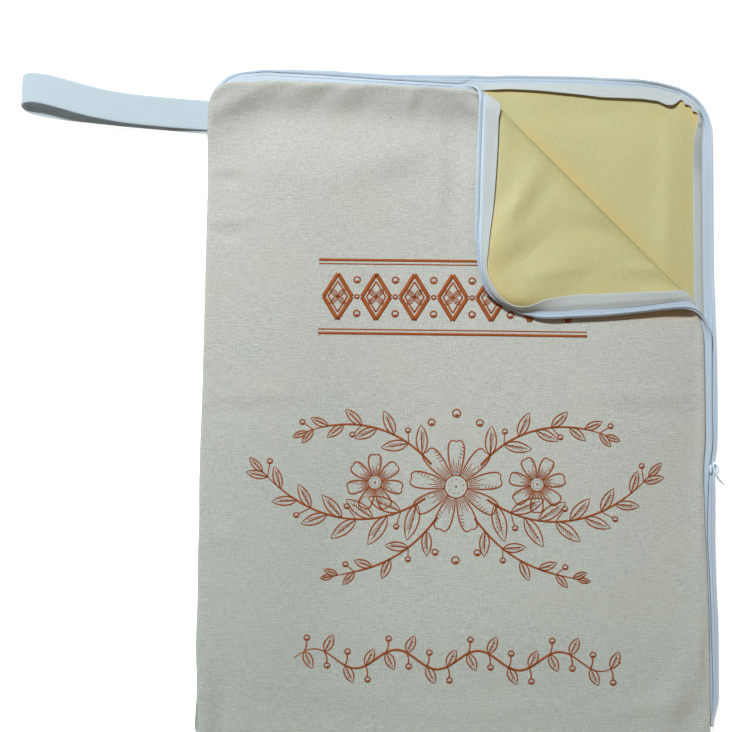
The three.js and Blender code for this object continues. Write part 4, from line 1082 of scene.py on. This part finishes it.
# Materials
class Shader:
    """Short ways to add nodes to a material."""

    def __init__(self, name):
        self.material = bpy.data.materials.new(name)
        self.material.use_nodes = True
        self.tree = self.material.node_tree
        self.surface = self.tree.nodes["Principled BSDF"]
        place = self.tree.nodes.new("ShaderNodeAttribute")
        place.attribute_name = "flat"
        self.flat = place.outputs["Vector"]

    def node(self, kind, inputs, **settings):
        made = self.tree.nodes.new(kind)
        for key, value in settings.items():
            setattr(made, key, value)
        for key, value in inputs.items():
            self.put(made.inputs[key], value)
        return made

    def put(self, socket, value):
        if isinstance(value, bpy.types.NodeSocket):
            self.tree.links.new(value, socket)
        else:
            socket.default_value = value

    def math(self, operation, a, b=0.0):
        return self.node("ShaderNodeMath", {0: a, 1: b}, operation=operation).outputs[0]

    def line_at(self, value, place):
        """A thin line where the value is the place."""
        return self.between(self.math("ABSOLUTE", self.math("SUBTRACT", value, place)), 0.15, 0.5, 1.0, 0.0)

    def scaled(self, factors):
        return self.node("ShaderNodeVectorMath", {0: self.flat, 1: factors}, operation="MULTIPLY").outputs[0]

    def noise(self, factors, detail=2.0, rough=0.5):
        inputs = {"Vector": self.scaled(factors), "Scale": 1.0, "Detail": detail, "Roughness": rough}
        return self.node("ShaderNodeTexNoise", inputs).outputs["Fac"]

    def between(self, value, low, high, to_low=0.0, to_high=1.0):
        inputs = {0: value, 1: low, 2: high, 3: to_low, 4: to_high}
        return self.node("ShaderNodeMapRange", inputs, clamp=True).outputs[0]

    def colour(self, factor, a, b, blend="MIX"):
        made = self.node("ShaderNodeMix", {}, data_type="RGBA", blend_type=blend)
        self.put(made.inputs[0], factor)
        self.put(made.inputs[6], a)
        self.put(made.inputs[7], b)
        return made.outputs[2]

    def axis(self, index):
        return self.node("ShaderNodeSeparateXYZ", {0: self.flat}).outputs[index]

    def wave(self, value, pitch):
        return self.math("SINE", self.math("MULTIPLY", value, 2 * math.pi / pitch))

    def plain_weave(self, pitch):
        return self.math("MULTIPLY", self.wave(self.axis(0), 2 * pitch), self.wave(self.axis(1), 2 * pitch))

    def total(self, *terms):
        """Sum of (value, weight) pairs."""
        found = 0.0
        for value, weight in terms:
            found = self.math("ADD", found, self.math("MULTIPLY", value, weight))
        return found

    def finish(self, colour, rough, height=None, distance=0.0002, strength=1.0, **fixed):
        self.put(self.surface.inputs["Base Color"], colour)
        self.put(self.surface.inputs["Roughness"], rough)
        for key, value in fixed.items():
            self.surface.inputs[key.replace("_", " ")].default_value = value
        if height is not None:
            bump = self.node("ShaderNodeBump", {"Height": height, "Distance": distance, "Strength": strength})
            self.put(self.surface.inputs["Normal"], bump.outputs["Normal"])
        return self.material


def rgb(r, g, b):
    return (r, g, b, 1.0)


def canvas_material():
    s = Shader("natural_canvas")
    weft = s.noise((0.2, 1.3, 0), 2)
    warp = s.noise((1.3, 0.18, 0), 2)
    grain = s.noise((1.15, 1.15, 0), 2, 0.7)
    slubs = s.noise((0.07, 0.9, 0), 1)
    patches = s.noise((0.02, 0.02, 0), 3)
    weave = s.plain_weave(0.6)
    tone = s.total((weft, 0.5), (warp, 0.4), (grain, 1.1), (slubs, 0.25))
    base = s.colour(s.between(tone, 0.85, 1.4), rgb(0.355, 0.37, 0.345), rgb(0.63, 0.65, 0.615))
    base = s.colour(s.between(patches, 0.35, 0.65, 0.0, 0.3), base, rgb(0.53, 0.52, 0.46))
    # Painted shade: the canvas is tinted cooler towards the bottom, where the key light falls off
    painted_cool_shade = s.between(s.axis(1), 130, -216)
    base = s.colour(painted_cool_shade, base, rgb(0.92, 1.0, 1.0), "MULTIPLY")
    # Painted shade from the third column darkens the canvas; below zero the warm tint: wax on the peeled
    # part's inner side and painted warm shadow below the peeled corner
    shade_and_warm_tint = s.axis(2)
    base = s.colour(s.between(shade_and_warm_tint, 0, 0.5, 0.0, 0.5), base, rgb(0.0, 0.015, 0.012))
    base = s.colour(s.between(shade_and_warm_tint, 0, -1), base, rgb(0.74, 0.40, 0.13))
    cells = s.node("ShaderNodeTexVoronoi", {"Vector": s.scaled((0.11, 0.11, 0)), "Scale": 1.0})
    lot = s.node("ShaderNodeSeparateColor", {0: cells.outputs["Color"]}).outputs[0]
    chosen = s.math("GREATER_THAN", lot, 0.5)
    fleck = s.math("MULTIPLY", s.between(cells.outputs["Distance"], 0.03, 0.06, 0.7, 0.0), chosen)
    base = s.colour(fleck, base, rgb(0.13, 0.10, 0.07))
    height = s.total((weave, 0.3), (weft, 0.8), (warp, 0.7), (grain, 1.2))
    sheen = {"Sheen_Weight": 0.1, "Sheen_Roughness": 0.5}
    return s.finish(base, 0.92, height, 0.0004, 0.6, Specular_IOR_Level=0.2, **sheen)


def lining_material():
    s = Shader("waxed_lining")
    weft = s.noise((0.2, 1.6, 0), 2)
    warp = s.noise((1.6, 0.18, 0), 2)
    wax = s.noise((0.05, 0.05, 0), 4, 0.62)
    grain = s.noise((0.9, 0.9, 0), 3)
    weave = s.plain_weave(0.5)
    tone = s.total((weft, 0.4), (warp, 0.4), (grain, 0.4))
    base = s.colour(s.between(tone, 0.45, 0.8), rgb(0.425, 0.41, 0.205), rgb(0.535, 0.515, 0.285))
    base = s.colour(s.between(wax, 0.35, 0.7, 0.0, 0.7), base, rgb(0.50, 0.455, 0.215))
    # Painted warm bounce light along the bindings and beside the crease; below zero, painted olive shade at
    # the crease
    base = s.colour(s.between(s.axis(2), 0, 1), base, rgb(0.60, 0.445, 0.16))
    base = s.colour(s.between(s.axis(2), 0, -1), base, rgb(0.24, 0.21, 0.05))
    rough = s.between(wax, 0.3, 0.7, 0.46, 0.62)
    height = s.total((weave, 0.22), (weft, 0.5), (warp, 0.5), (grain, 0.5))
    return s.finish(base, rough, height, 0.0002, 0.35, Specular_IOR_Level=0.3)


def binding_material():
    s = Shader("binding_tape")
    across = s.axis(1)
    along = s.axis(0)
    tent = s.math("ABSOLUTE", s.math("SUBTRACT", across, 3.7))
    bones = s.wave(s.math("ADD", along, tent), 1.5)
    grain = s.noise((2.2, 2.2, 0), 2)
    stitch = s.math("MULTIPLY", s.between(s.wave(along, 2.35), 0.3, 0.9), s.line_at(across, 1.7))
    tone = s.total((bones, 0.12), (grain, 0.6))
    base = s.colour(s.between(tone, 0.1, 0.5), rgb(0.409, 0.458, 0.463), rgb(0.544, 0.598, 0.606))
    base = s.colour(s.math("MULTIPLY", stitch, 0.25), base, rgb(0.28, 0.32, 0.33))
    # Painted shade in the binding's folds and gathers
    base = s.colour(s.between(s.axis(2), 0, 1), base, rgb(0.10, 0.13, 0.13))
    height = s.total((bones, 0.35), (grain, 0.6), (stitch, -1.2))
    sheen = {"Sheen_Weight": 0.2, "Sheen_Roughness": 0.4}
    return s.finish(base, 0.82, height, 0.0002, 0.6, Specular_IOR_Level=0.25, **sheen)


# Dark lines along a tape, its seams and painted shade for the gap and the groove by its rim: distance from
# the tape's edge, share by which it is darker
BACK_TAPE_SEAMS_AND_SHADE = [(2.3, 0.4), (4.2, 0.28), (5.9, 0.15)]
FRONT_TAPE_SEAMS_AND_SHADE = [(0.5, 0.25), (2.6, 0.2), (4.2, 0.22)]


def tape_material(name, seams_and_shade):
    s = Shader(name)
    across, along = s.axis(1), s.axis(0)
    ribs = s.wave(across, 0.7)
    slant = s.wave(s.math("ADD", along, s.math("MULTIPLY", across, 0.8)), 1.3)
    grain = s.noise((1.8, 1.8, 0), 2)
    lines = s.total(*[(s.line_at(across, place), share) for place, share in seams_and_shade])
    tone = s.total((ribs, 0.06), (slant, 0.07), (grain, 0.5))
    base = s.colour(s.between(tone, 0.1, 0.4), rgb(0.42, 0.52, 0.625), rgb(0.52, 0.63, 0.74))
    # Dark lines: seams, and painted shade for the gap beside the other half and the groove inside the rim
    base = s.colour(lines, base, rgb(0.20, 0.29, 0.38))
    # Painted shade in folds and grooves, and below zero a painted highlight where the tape turns to the light
    base = s.colour(s.between(s.axis(2), 0, 1), base, rgb(0.12, 0.16, 0.19))
    base = s.colour(s.between(s.axis(2), 0, -1), base, rgb(0.72, 0.84, 0.95))
    height = s.total((ribs, 0.4), (slant, 0.35), (grain, 0.3), (lines, -3.0))
    sheen = {"Sheen_Weight": 0.2, "Sheen_Roughness": 0.4}
    return s.finish(base, 0.7, height, 0.0002, 0.5, Specular_IOR_Level=0.35, **sheen)


def coil_material():
    s = Shader("nylon_coil")
    grain = s.noise((1.1, 1.1, 0), 2)
    base = s.colour(s.between(grain, 0.3, 0.7), rgb(0.43, 0.53, 0.64), rgb(0.52, 0.62, 0.73))
    return s.finish(base, 0.5, grain, 0.00005, 0.3, Specular_IOR_Level=0.4)


def webbing_material():
    s = Shader("strap_webbing")
    twill = s.wave(s.math("ADD", s.axis(0), s.math("MULTIPLY", s.axis(1), 1.4)), 1.05)
    ribs = s.wave(s.axis(1), 1.6)
    grain = s.noise((2.0, 2.0, 0), 2)
    tone = s.total((twill, 0.1), (grain, 0.6))
    base = s.colour(s.between(tone, 0.1, 0.5), rgb(0.43, 0.53, 0.59), rgb(0.545, 0.655, 0.73))
    height = s.total((twill, 0.5), (ribs, 0.2), (grain, 0.3))
    sheen = {"Sheen_Weight": 0.25, "Sheen_Roughness": 0.4}
    return s.finish(base, 0.8, height, 0.0003, 0.5, Specular_IOR_Level=0.3, **sheen)


def ink_material():
    s = Shader("printed_ink")
    grain = s.noise((2.4, 2.4, 0), 3)
    patches = s.noise((0.2, 0.2, 0), 2)
    weave = s.plain_weave(0.6)
    base = s.colour(s.between(grain, 0.35, 0.7), rgb(0.27, 0.062, 0.013), rgb(0.36, 0.098, 0.026))
    base = s.colour(s.between(patches, 0.4, 0.7, 0.0, 0.3), base, rgb(0.40, 0.13, 0.04))
    height = s.total((weave, 0.35), (grain, 0.8))
    return s.finish(base, 0.85, height, 0.0002, 0.5, Specular_IOR_Level=0.2)


def metal_material():
    s = Shader("slider_metal")
    coords = s.node("ShaderNodeTexCoord", {})
    worn = s.node("ShaderNodeTexNoise", {"Vector": coords.outputs["Object"], "Scale": 900.0, "Detail": 3.0})
    base = s.colour(s.between(worn.outputs["Fac"], 0.3, 0.7), rgb(0.68, 0.82, 0.93), rgb(0.78, 0.92, 1.0))
    rough = s.between(worn.outputs["Fac"], 0.3, 0.7, 0.36, 0.5)
    return s.finish(base, rough, worn.outputs["Fac"], 0.00003, 0.3, Metallic=0.25)


# The print: a generic design of the builder's own in ribbons of ink
INK_HEIGHT = 0.05
INK_THICK = 0.06
INK_WEIGHT = 1.35


def bezier(corners, count):
    """Points along the curve of these control points."""
    t = np.linspace(0, 1, count)[:, None]
    points = [np.array(c, float) for c in corners]
    while len(points) > 1:
        points = [mix(a, b, t) for a, b in zip(points, points[1:])]
    return points[0]


class Ink:
    """Collects strokes on the front canvas, each a thin closed ribbon."""

    def __init__(self):
        self.points, self.flat, self.faces, self.count = [], [], [], 0

    def stroke(self, path, width, taper=(1.0, 1.0)):
        path = np.asarray(path, float)
        run = run_of(path)
        steps = max(2, round(run[-1] / 1.3))
        f = np.linspace(0, 1, steps + 1)
        x, y = [np.interp(f * run[-1], run, path[:, k]) for k in (0, 1)]
        tangent = normalised(np.gradient(np.stack([x, y], 1), axis=0))
        side = np.stack([-tangent[:, 1], tangent[:, 0]], 1)
        swell = np.interp(f, [0, 0.25, 0.75, 1], [taper[0], 1, 1, taper[1]])
        half = (INK_WEIGHT * width / 2 * swell)[:, None]
        xs = np.concatenate([x[:, None] + side[:, :1] * half * k for k in (-1, 1, 1, -1)], 1)
        ys = np.concatenate([y[:, None] + side[:, 1:] * half * k for k in (-1, 1, 1, -1)], 1)
        base = OUTER_LAYER[1] + INK_HEIGHT
        h = np.broadcast_to([base, base, base + INK_THICK, base + INK_THICK], xs.shape)
        placed = place_front_canvas(xs, ys, h).reshape(-1, 3)
        faces = facing_out(placed, bar_faces(len(f), 4))
        self.points.append(placed)
        self.flat.append(np.stack([xs, ys, h], -1).reshape(-1, 3))
        self.faces += [part + self.count for part in faces]
        self.count += len(placed)

    def curve(self, *corners, width, taper=(1.0, 1.0)):
        self.stroke(bezier(corners, 24), width, taper)

    def circle(self, x, y, radius, width, start=0, turn=360):
        angle = np.radians(np.linspace(start, start + turn, max(8, round(radius * turn / 60)) + 1))
        self.stroke(np.stack([x + radius * np.cos(angle), y + radius * np.sin(angle)], 1), width)

    def piece(self, name, material):
        return new_piece(name, np.concatenate(self.points), self.faces, np.concatenate(self.flat), material)


def unit(angle):
    return np.array([math.cos(math.radians(angle)), math.sin(math.radians(angle))])


def leaf(ink, root, angle, length, width, line=0.7, hatch=1.6):
    """A pointed leaf with a midrib and hatching on its lower half."""
    root = np.array(root, float)
    along, across = unit(angle), unit(angle + 90)
    tip = root + along * length
    for side in (-1, 1):
        ink.curve(
            root, root + along * length * 0.3 + across * side * width * 0.72,
            root + along * length * 0.72 + across * side * width * 0.5, tip,
            width=line, taper=(0.5, 0.4),
        )
    bowed = root + along * length * 0.5 + across * width * 0.06
    ink.curve(root, bowed, root + along * length * 0.86, width=line * 0.8, taper=(1, 0.3))
    for i in range(1, int(length * 0.78 / hatch)):
        f = i * hatch / length
        bulge = width * 1.85 * f * (1 - f) ** 0.8 * 0.62
        start = root + along * length * f
        middle = start + along * 1.2 - across * bulge * 0.5
        end = start + along * 2.0 - across * bulge * 0.86
        ink.curve(start, middle, end, width=line * 0.5, taper=(1, 0.3))
        if i % 3 == 0:
            ink.curve(start, start + along * 1.4 + across * bulge * 0.45, width=line * 0.45, taper=(1, 0.3))


def berry(ink, x, y, radius, line=0.7):
    ink.circle(x, y, radius, line)
    for k in range(3):
        reach = radius * (0.62 - 0.18 * k)
        ink.circle(x + 0.2, y - 0.2, reach, line * 0.5, 200 + 14 * k, 120)


def flower(ink, x, y, radius, petals, turn=0.0, line=0.75):
    """An open flower: notched petals with fine lines from the heart, which is a ring of dots."""
    heart = radius * 0.24
    for k in range(petals):
        angle = turn + 360 * k / petals
        spread = 180 / petals
        middle = np.array([x, y])
        left, right = unit(angle - spread * 0.86), unit(angle + spread * 0.86)
        way = unit(angle)
        for edge in (left, right):
            ink.curve(
                middle + edge * heart, middle + edge * radius * 0.72,
                middle + mix(edge, way, 0.35) * radius * 1.08, middle + way * radius * 0.93,
                width=line, taper=(0.6, 0.7),
            )
        for i, part in enumerate((-0.55, -0.28, 0, 0.28, 0.55)):
            ray = unit(angle + spread * part)
            reach = radius * (0.5 + 0.1 * (i % 2))
            ink.stroke([middle + ray * heart * 1.15, middle + ray * reach], line * 0.5, (1, 0.25))
        shade = unit(angle - spread * 0.6)
        for i in range(4):
            start = middle + shade * radius * (0.6 + 0.07 * i)
            ink.stroke([start, start + unit(angle + 62) * radius * 0.09], line * 0.5, (1, 0.3))
    ink.circle(x, y, heart, line)
    for k in range(9):
        dot = unit(turn + 40 * k) * heart * 0.62
        ink.circle(x + dot[0], y + dot[1], 0.5, 0.6)
    ink.circle(x, y, 0.6, 0.7)


def spray(ink, corners, leaves, length, width, flip=1, line=0.75):
    """A stem along a curve with leaves on both sides that shrink towards its tip."""
    stem = bezier(corners, 60)
    ink.stroke(stem, line * 1.3, (1.2, 0.4))
    for i in range(leaves):
        f = (i + 0.7) / leaves
        k = min(58, int(f * 59))
        way = math.degrees(math.atan2(*(stem[k + 1] - stem[k])[::-1]))
        side = flip * (1 if i % 2 else -1)
        size = 1 - 0.45 * f
        leaf(ink, stem[k], way + side * (46 - 14 * f), length * size, width * size)
        if i % 3 == 1:
            start = stem[k]
            end = start + unit(way - side * 52) * length * 0.34
            ink.stroke([start, end], line * 0.7)
            berry(ink, *(end + unit(way - side * 52) * 1.7), 1.7)
    way = math.degrees(math.atan2(*(stem[-1] - stem[-2])[::-1]))
    leaf(ink, stem[-1], way, length * 0.5, width * 0.5)


GARLAND_BERRIES = [(-16, 41, 2.2), (0, 47, 2.6), (15, 41, 2.2), (-13, -42, 2), (0, -47, 2.4), (14, -42, 2)]


def garland():
    ink = Ink()
    middle = np.array([-2.0, -56.0])
    for side in (-1, 1):
        def at(dx, dy):
            return middle + [side * dx, dy]
        spray(ink, [at(20, -8), at(52, -30), at(92, -26), at(124, 8)], 11, 25, 9.5, side)
        spray(ink, [at(16, 14), at(38, 40), at(70, 44), at(96, 34)], 8, 20, 8, -side)
        spray(ink, [at(12, -20), at(34, -50), at(58, -54), at(78, -58)], 6, 17, 7, side)
        flower(ink, *at(52, 2), 19, 7, 12 * side)
    flower(ink, *middle, 31, 9, 10)
    for dx, dy, r in GARLAND_BERRIES:
        berry(ink, middle[0] + dx, middle[1] + dy, r)
    return ink


def top_band():
    ink = Ink()
    left, right = -92, 82
    for y, width in ((90, 1.3), (87.4, 0.6), (42, 1.3), (44.6, 0.6)):
        ink.stroke([(left, y), (right, y)], width)
    count = 7
    pitch = (right - left) / count
    for k in range(count):
        x = left + pitch * (k + 0.5)
        for size, line in ((15, 2.0), (10, 0.8)):
            corner = [(x + size * 0.62, 66), (x, 66 + size), (x - size * 0.62, 66), (x, 66 - size)]
            for a, b in zip(corner, corner[1:] + corner[:1]):
                ink.stroke([a, b], line)
        for turn in (45, 135, 225, 315):
            leaf(ink, (x, 66), turn, 7, 3, 0.6, 2.4)
        if k:
            for dy in (-11, 0, 11):
                berry(ink, x - pitch / 2, 66 + dy, 2.1 if dy else 1.5, 0.8)
    return ink


def vine_border():
    ink = Ink()
    left, right, level, rise = -104, 104, -166, 6
    x = np.linspace(left, right, 200)
    phase = (x - left) / (right - left) * 2 * math.pi * 4
    ink.stroke(np.stack([x, level + rise * np.sin(phase)], 1), 1.1, (0.4, 0.4))
    for k in range(16):
        f = (k + 0.5) / 16
        px = mix(left, right, f)
        py = level + rise * math.sin(f * 2 * math.pi * 4)
        side = 1 if k % 2 else -1
        leaf(ink, (px, py), 64 * side, 12, 6, 0.7, 2.2)
        end = np.array([px, py]) + unit(-80 * side) * 7
        ink.curve((px, py), (px + 2, py - 4 * side), end, width=0.7)
        berry(ink, *(end + unit(-80 * side) * 1.8), 1.8)
    return ink


def under_root(piece, slot, *nodes):
    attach(piece, "root")
    if nodes:
        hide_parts(*nodes)


def link(name, data):
    made = bpy.data.objects.new(name, data)
    bpy.context.scene.collection.objects.link(made)
    return made


# The camera: looking down at the bag from 1.1 m, nearly square to it
CAMERA_PLACE = (-0.0611, -0.0844, 1.0949)
CAMERA_TURN = {"Y": -0.0236, "X": 5.5407, "Z": 0.7589}
FIELD_OF_VIEW = 24.455


def add_camera():
    data = bpy.data.cameras.new("camera")
    data.sensor_width = 36
    data.lens = 18 / math.tan(math.radians(FIELD_OF_VIEW / 2))
    data.clip_start, data.clip_end = 0.01, 20
    camera = link("camera", data)
    yaw, pitch, roll = (Matrix.Rotation(math.radians(angle), 4, axis) for axis, angle in CAMERA_TURN.items())
    camera.matrix_world = Matrix.Translation(CAMERA_PLACE) @ yaw @ pitch @ roll
    bpy.context.scene.camera = camera


KEY = {"place": (-0.5, 1.0, 1.4), "size": 0.2, "power": 34, "colour": (0.93, 1.0, 1.03)}
FILL = {"colour": (1.0, 0.74, 0.54), "strength": 0.25}
FLOOR = {"reach": 3.0, "below": 0.0002, "glow": 0.75}


def add_light():
    data = bpy.data.lights.new("key", "AREA")
    data.shape = "DISK"
    data.size = KEY["size"]
    data.energy = KEY["power"]
    data.color = KEY["colour"]
    key = link("key", data)
    key.location = KEY["place"]
    key.rotation_euler = (-key.location).to_track_quat("-Z", "Y").to_euler()
    world = bpy.data.worlds.new("room")
    world.use_nodes = True
    background = world.node_tree.nodes["Background"]
    background.inputs["Color"].default_value = (*FILL["colour"], 1)
    background.inputs["Strength"].default_value = FILL["strength"]
    bpy.context.scene.world = world
    bpy.context.scene.view_settings.view_transform = "Standard"


def add_floor():
    mesh = bpy.data.meshes.new("floor")
    reach, ways = FLOOR["reach"], ((-1, -1), (1, -1), (1, 1), (-1, 1))
    mesh.from_pydata([(reach * a, reach * b, -FLOOR["below"]) for a, b in ways], [], [(0, 1, 2, 3)])
    material = bpy.data.materials.new("pale_floor")
    material.use_nodes = True
    surface = material.node_tree.nodes["Principled BSDF"]
    for key, value in (
        ("Base Color", rgb(0.8, 0.8, 0.8)), ("Roughness", 0.9), ("Specular IOR Level", 0.1),
        ("Emission Color", rgb(1, 1, 1)), ("Emission Strength", FLOOR["glow"]),
    ):
        surface.inputs[key].default_value = value
    mesh.materials.append(material)
    link("floor", mesh)


add_camera()
add_light()
add_floor()

canvas = canvas_material()
lining = lining_material()
binding = binding_material()
tape = tape_material("zip_tape", BACK_TAPE_SEAMS_AND_SHADE)
edged_tape = tape_material("zip_tape_with_edge", FRONT_TAPE_SEAMS_AND_SHADE)
coil = coil_material()
webbing = webbing_material()
metal = metal_material()
ink = ink_material()

front_canvas_box, back_canvas_box = canvas_box(FRONT_OUTER), canvas_box(BACK_OUTER)
front_lining_box, back_lining_box = lining_box(FRONT_OUTER), lining_box(BACK_OUTER)

front_canvas = cloth_sheet(
    "front_canvas", front_grid(front_canvas_box, 2.5, 1.7, 18, 130), front_canvas_box, OUTER_LAYER,
    place_front_canvas, canvas, canvas_painted_shade_and_tint, ridge=seam_ridge,
)
front_lining = cloth_sheet(
    "front_lining_cloth", front_grid(front_lining_box, 5.5, 1.7, 18, 105), front_lining_box, INNER_LAYER,
    place_front_lining, lining, front_lining_bounce_and_shade,
)
back_canvas = cloth_sheet(
    "back_canvas", back_grid(back_canvas_box, 8, 3), back_canvas_box, INNER_LAYER, place_back, canvas, plain,
)
back_lining = cloth_sheet(
    "back_lining_cloth", back_grid(back_lining_box, 8, 1.8), back_lining_box, OUTER_LAYER, place_back_lining,
    lining, back_lining_painted_bounce, relief=back_creases,
)
back_binding = binding_piece(
    "back_binding_tape", BACK_OUTER, place_back, OUTER_LAYER, 1, BACK_BINDING, BACK_BINDING_PAINTED_SHADE, binding,
)
front_binding = binding_piece(
    "front_binding_tape", FRONT_OUTER, place_front, INNER_LAYER, -1, FRONT_BINDING, FRONT_BINDING_PAINTED_SHADE,
    binding,
)
back_tape = tape_piece(
    "back_tape", BACK_OUTER, place_back, BACK_TAPE, no_edge, BACK_RIM, BACK_TAPE_PAINTED_SHADE, tape,
)
front_tape = tape_piece(
    "front_tape", FRONT_OUTER, place_front, FRONT_TAPE, tape_edge, FLAT_RIM, FRONT_TAPE_PAINTED_LIGHT_AND_SHADE, edged_tape,
)
back_coil = coil_piece("back_coil", BACK_OUTER, place_back, BACK_COIL, no_edge, coil)
front_coil = coil_piece("front_coil", FRONT_OUTER, place_front, FRONT_COIL, tape_edge, coil)
top_stitches = stitch_row("top_stitches", on_shut_top, coil)
side_stitches = stitch_row("side_stitches", on_shut_side, coil)
strap = strap_piece(webbing)
slider = slider_piece(metal)
pull = pull_piece(metal)

for piece, slot, *nodes in (
    (front_canvas, "canvas", "front_panel"),
    (front_lining, "lining", "front_lining"),
    (back_canvas, "canvas", "back_panel"),
    (back_lining, "lining", "back_lining"),
    (back_binding, "binding", "back_binding"),
    (front_binding, "binding", "front_binding"),
    (back_tape, "tape", "back_zip_tape"),
    (front_tape, "tape", "front_zip_tape"),
    (back_coil, "coil", "back_zip_coil"),
    (front_coil, "coil", "front_zip_coil"),
    (top_stitches, "coil"),
    (side_stitches, "coil"),
    (strap, "webbing", "hanging_strap"),
    (slider, "metal", "zip_slider"),
    (pull, "metal", "zip_pull"),
):
    under_root(piece, slot, *nodes)

for name, design in (("print_garland", garland()), ("print_band", top_band()), ("print_vine", vine_border())):
    under_root(design.piece(name, ink), None)
